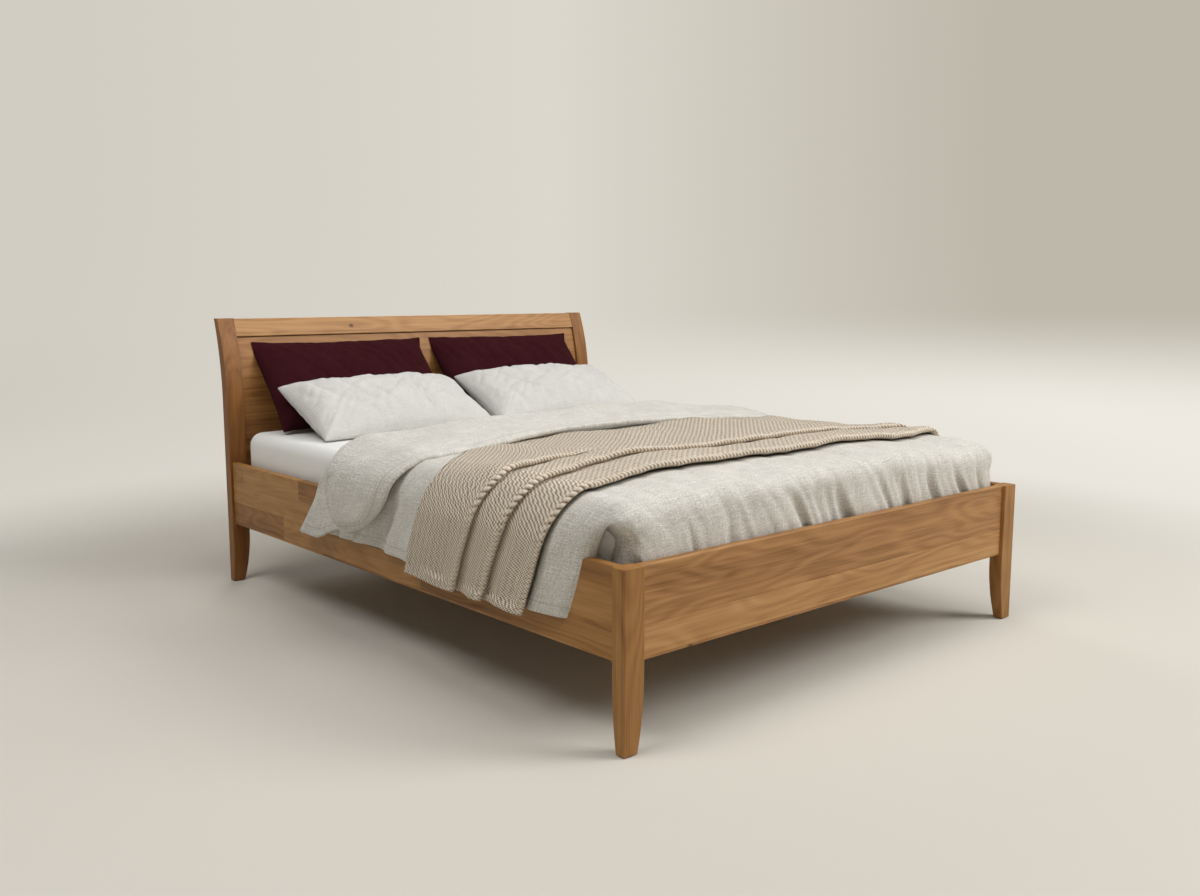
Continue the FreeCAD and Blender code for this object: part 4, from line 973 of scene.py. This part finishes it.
def make_stage():
    """A pale floor that turns up into a wall all round."""
    form = bmesh.new()
    start = form.verts.new((0, 0, 0))
    profile = [(FLOOR_RADIUS, 0)]
    for step in range(1, BEND_STEPS + 1):
        angle = math.pi / 2 * step / BEND_STEPS
        profile.append((FLOOR_RADIUS + WALL_BEND * math.sin(angle), WALL_BEND * (1 - math.cos(angle))))
    profile.append((FLOOR_RADIUS + WALL_BEND, WALL_TOP))
    line, edges = [start], []
    for x, z in profile:
        line.append(form.verts.new((x, 0, z)))
        edges.append(form.edges.new(line[-2:]))
    bmesh.ops.spin(
        form,
        geom=line + edges,
        cent=(0, 0, 0),
        axis=(0, 0, 1),
        angle=2 * math.pi,
        steps=64,
        use_merge=True,
    )
    bmesh.ops.remove_doubles(form, verts=form.verts, dist=0.0001)
    bmesh.ops.recalc_face_normals(form, faces=form.faces)
    material, tree, shader = finish_material("studio_paper", 0.95, 0.0)
    shader.inputs["Base Color"].default_value = paint(214, 210, 201)
    place = add(tree, "TexCoord").outputs["Object"]
    away = add(tree, "VectorMath", {0: place}, operation="LENGTH").outputs["Value"]
    span = {"Value": away, "From Min": SHADOW_NEAR, "From Max": SHADOW_FAR}
    far = add(tree, "MapRange", span, interpolation_type="SMOOTHSTEP")
    along = add(tree, "VectorMath", {0: place, 1: SIDE_WAY}, operation="DOT_PRODUCT").outputs["Value"]
    side = add(tree, "MapRange", {"Value": along, "From Min": SIDE_FROM, "From Max": SIDE_TO}).outputs[0]
    height = add(tree, "SeparateXYZ", {0: place}).outputs["Z"]
    span = {"Value": height, "From Max": WALL_START}
    wall = add(tree, "MapRange", span, interpolation_type="SMOOTHSTEP").outputs[0]
    # The glow's colour carries painted light and shade: lighter and darker by side and by height on the wall.
    shades = {0: wall, 6: ramp(tree, side, FLOOR_SHADES), 7: ramp(tree, side, WALL_SHADES)}
    glow = add(tree, "Emission", {"Color": add(tree, "Mix", shades, data_type="RGBA").outputs[2]})
    seen = maths(tree, "MULTIPLY", background_rays(tree), far.outputs[0])
    mixed = add(tree, "MixShader", {0: seen, 1: shader.outputs[0], 2: glow.outputs[0]})
    tree.links.new(mixed.outputs[0], tree.nodes["Material Output"].inputs["Surface"])
    piece = new_piece("studio_floor", form, material)
    return piece


WARM_WHITE, SOFT_WHITE = (1.0, 0.99, 0.97), (1.0, 0.99, 0.975)
AIR_LIGHT = 0.10
# Each lamp's name, place, target, size, power and colour.
LAMPS = (
    ("key_lamp", (4.0, -5.0, 4.6), (0, 0, 0.3), 3.6, 310, WARM_WHITE),
    ("top_lamp", (0.0, -1.5, 4.7), (0, -0.3, 0.3), 3.6, 88, SOFT_WHITE),
    ("side_lamp", (-3.1, -0.3, 4.6), (-0.4, 0.1, 0.3), 2.4, 84, SOFT_WHITE),
    ("back_lamp", (2.0, 4.8, 3.2), (0, 0.8, 0.4), 2.6, 60, SOFT_WHITE),
)


def add_lamp(name, place, target, size, power, colour):
    lamp = bpy.data.lights.new(name, "AREA")
    lamp.shape = "DISK"
    lamp.size = size
    lamp.energy = power
    lamp.color = colour
    holder = bpy.data.objects.new(name, lamp)
    holder.location = place
    holder.rotation_euler = (Vector(target) - Vector(place)).to_track_quat("-Z", "Y").to_euler()
    scene.collection.objects.link(holder)


def make_light():
    world = bpy.data.worlds.new("studio_air")
    world.use_nodes = True
    tree = world.node_tree
    air = tree.nodes["Background"]
    air.inputs["Color"].default_value = (*WARM_WHITE, 1)
    air.inputs["Strength"].default_value = AIR_LIGHT
    shown = add(tree, "Background", {"Color": PAPER_LIGHT, "Strength": 1.0})
    mixed = add(tree, "MixShader", {0: background_rays(tree), 1: air.outputs[0], 2: shown.outputs[0]})
    tree.links.new(mixed.outputs[0], tree.nodes["World Output"].inputs["Surface"])
    scene.world = world
    for lamp in LAMPS:
        add_lamp(*lamp)


# The camera that was fitted to the straight edges of the bed in the photo.
CAMERA_PLACE, CAMERA_DIP, CAMERA_HEADING = (-2.48056, -2.85327, 1.04575), 7.963, -41.413
CAMERA_LENS, CAMERA_SENSOR = 33.727, 36.0


def make_camera():
    camera = bpy.data.cameras.new("photo_camera")
    camera.lens, camera.sensor_width = CAMERA_LENS, CAMERA_SENSOR
    holder = bpy.data.objects.new("photo_camera", camera)
    holder.location = CAMERA_PLACE
    holder.rotation_euler = (math.radians(90 - CAMERA_DIP), 0, math.radians(CAMERA_HEADING))
    scene.collection.objects.link(holder)
    scene.camera = holder


scene.view_settings.view_transform = "Standard"
make_stage()
make_light()
make_camera()
make_mattress()
lower_duvet = make_lower_duvet()
make_throw(lower_duvet)
make_duvet(lower_duvet)
# Width, height and loft of the pillows, and how far they stand up.
BACK_SIZES, FRONT_SIZES = (0.73, 0.41, 0.14), (0.725, 0.37, 0.175)
BACK_TILT, FRONT_TILT = math.radians(49), math.radians(25)
for side, yaw, seed in (("left", 0.02, 1.7), ("right", -0.015, 11.3)):
    back = make_pillow(
        f"burgundy_pillow_{side}",
        f"back_pillow_{side}",
        burgundy_cotton,
        BACK_SIZES,
        BACK_TILT,
        seed,
        [nodes["headboard_panel"]],
        0.0,
    )
    make_pillow(
        f"white_pillow_{side}",
        f"front_pillow_{side}",
        pillow_linen,
        FRONT_SIZES,
        FRONT_TILT,
        seed + 20,
        [back],
        yaw,
    )
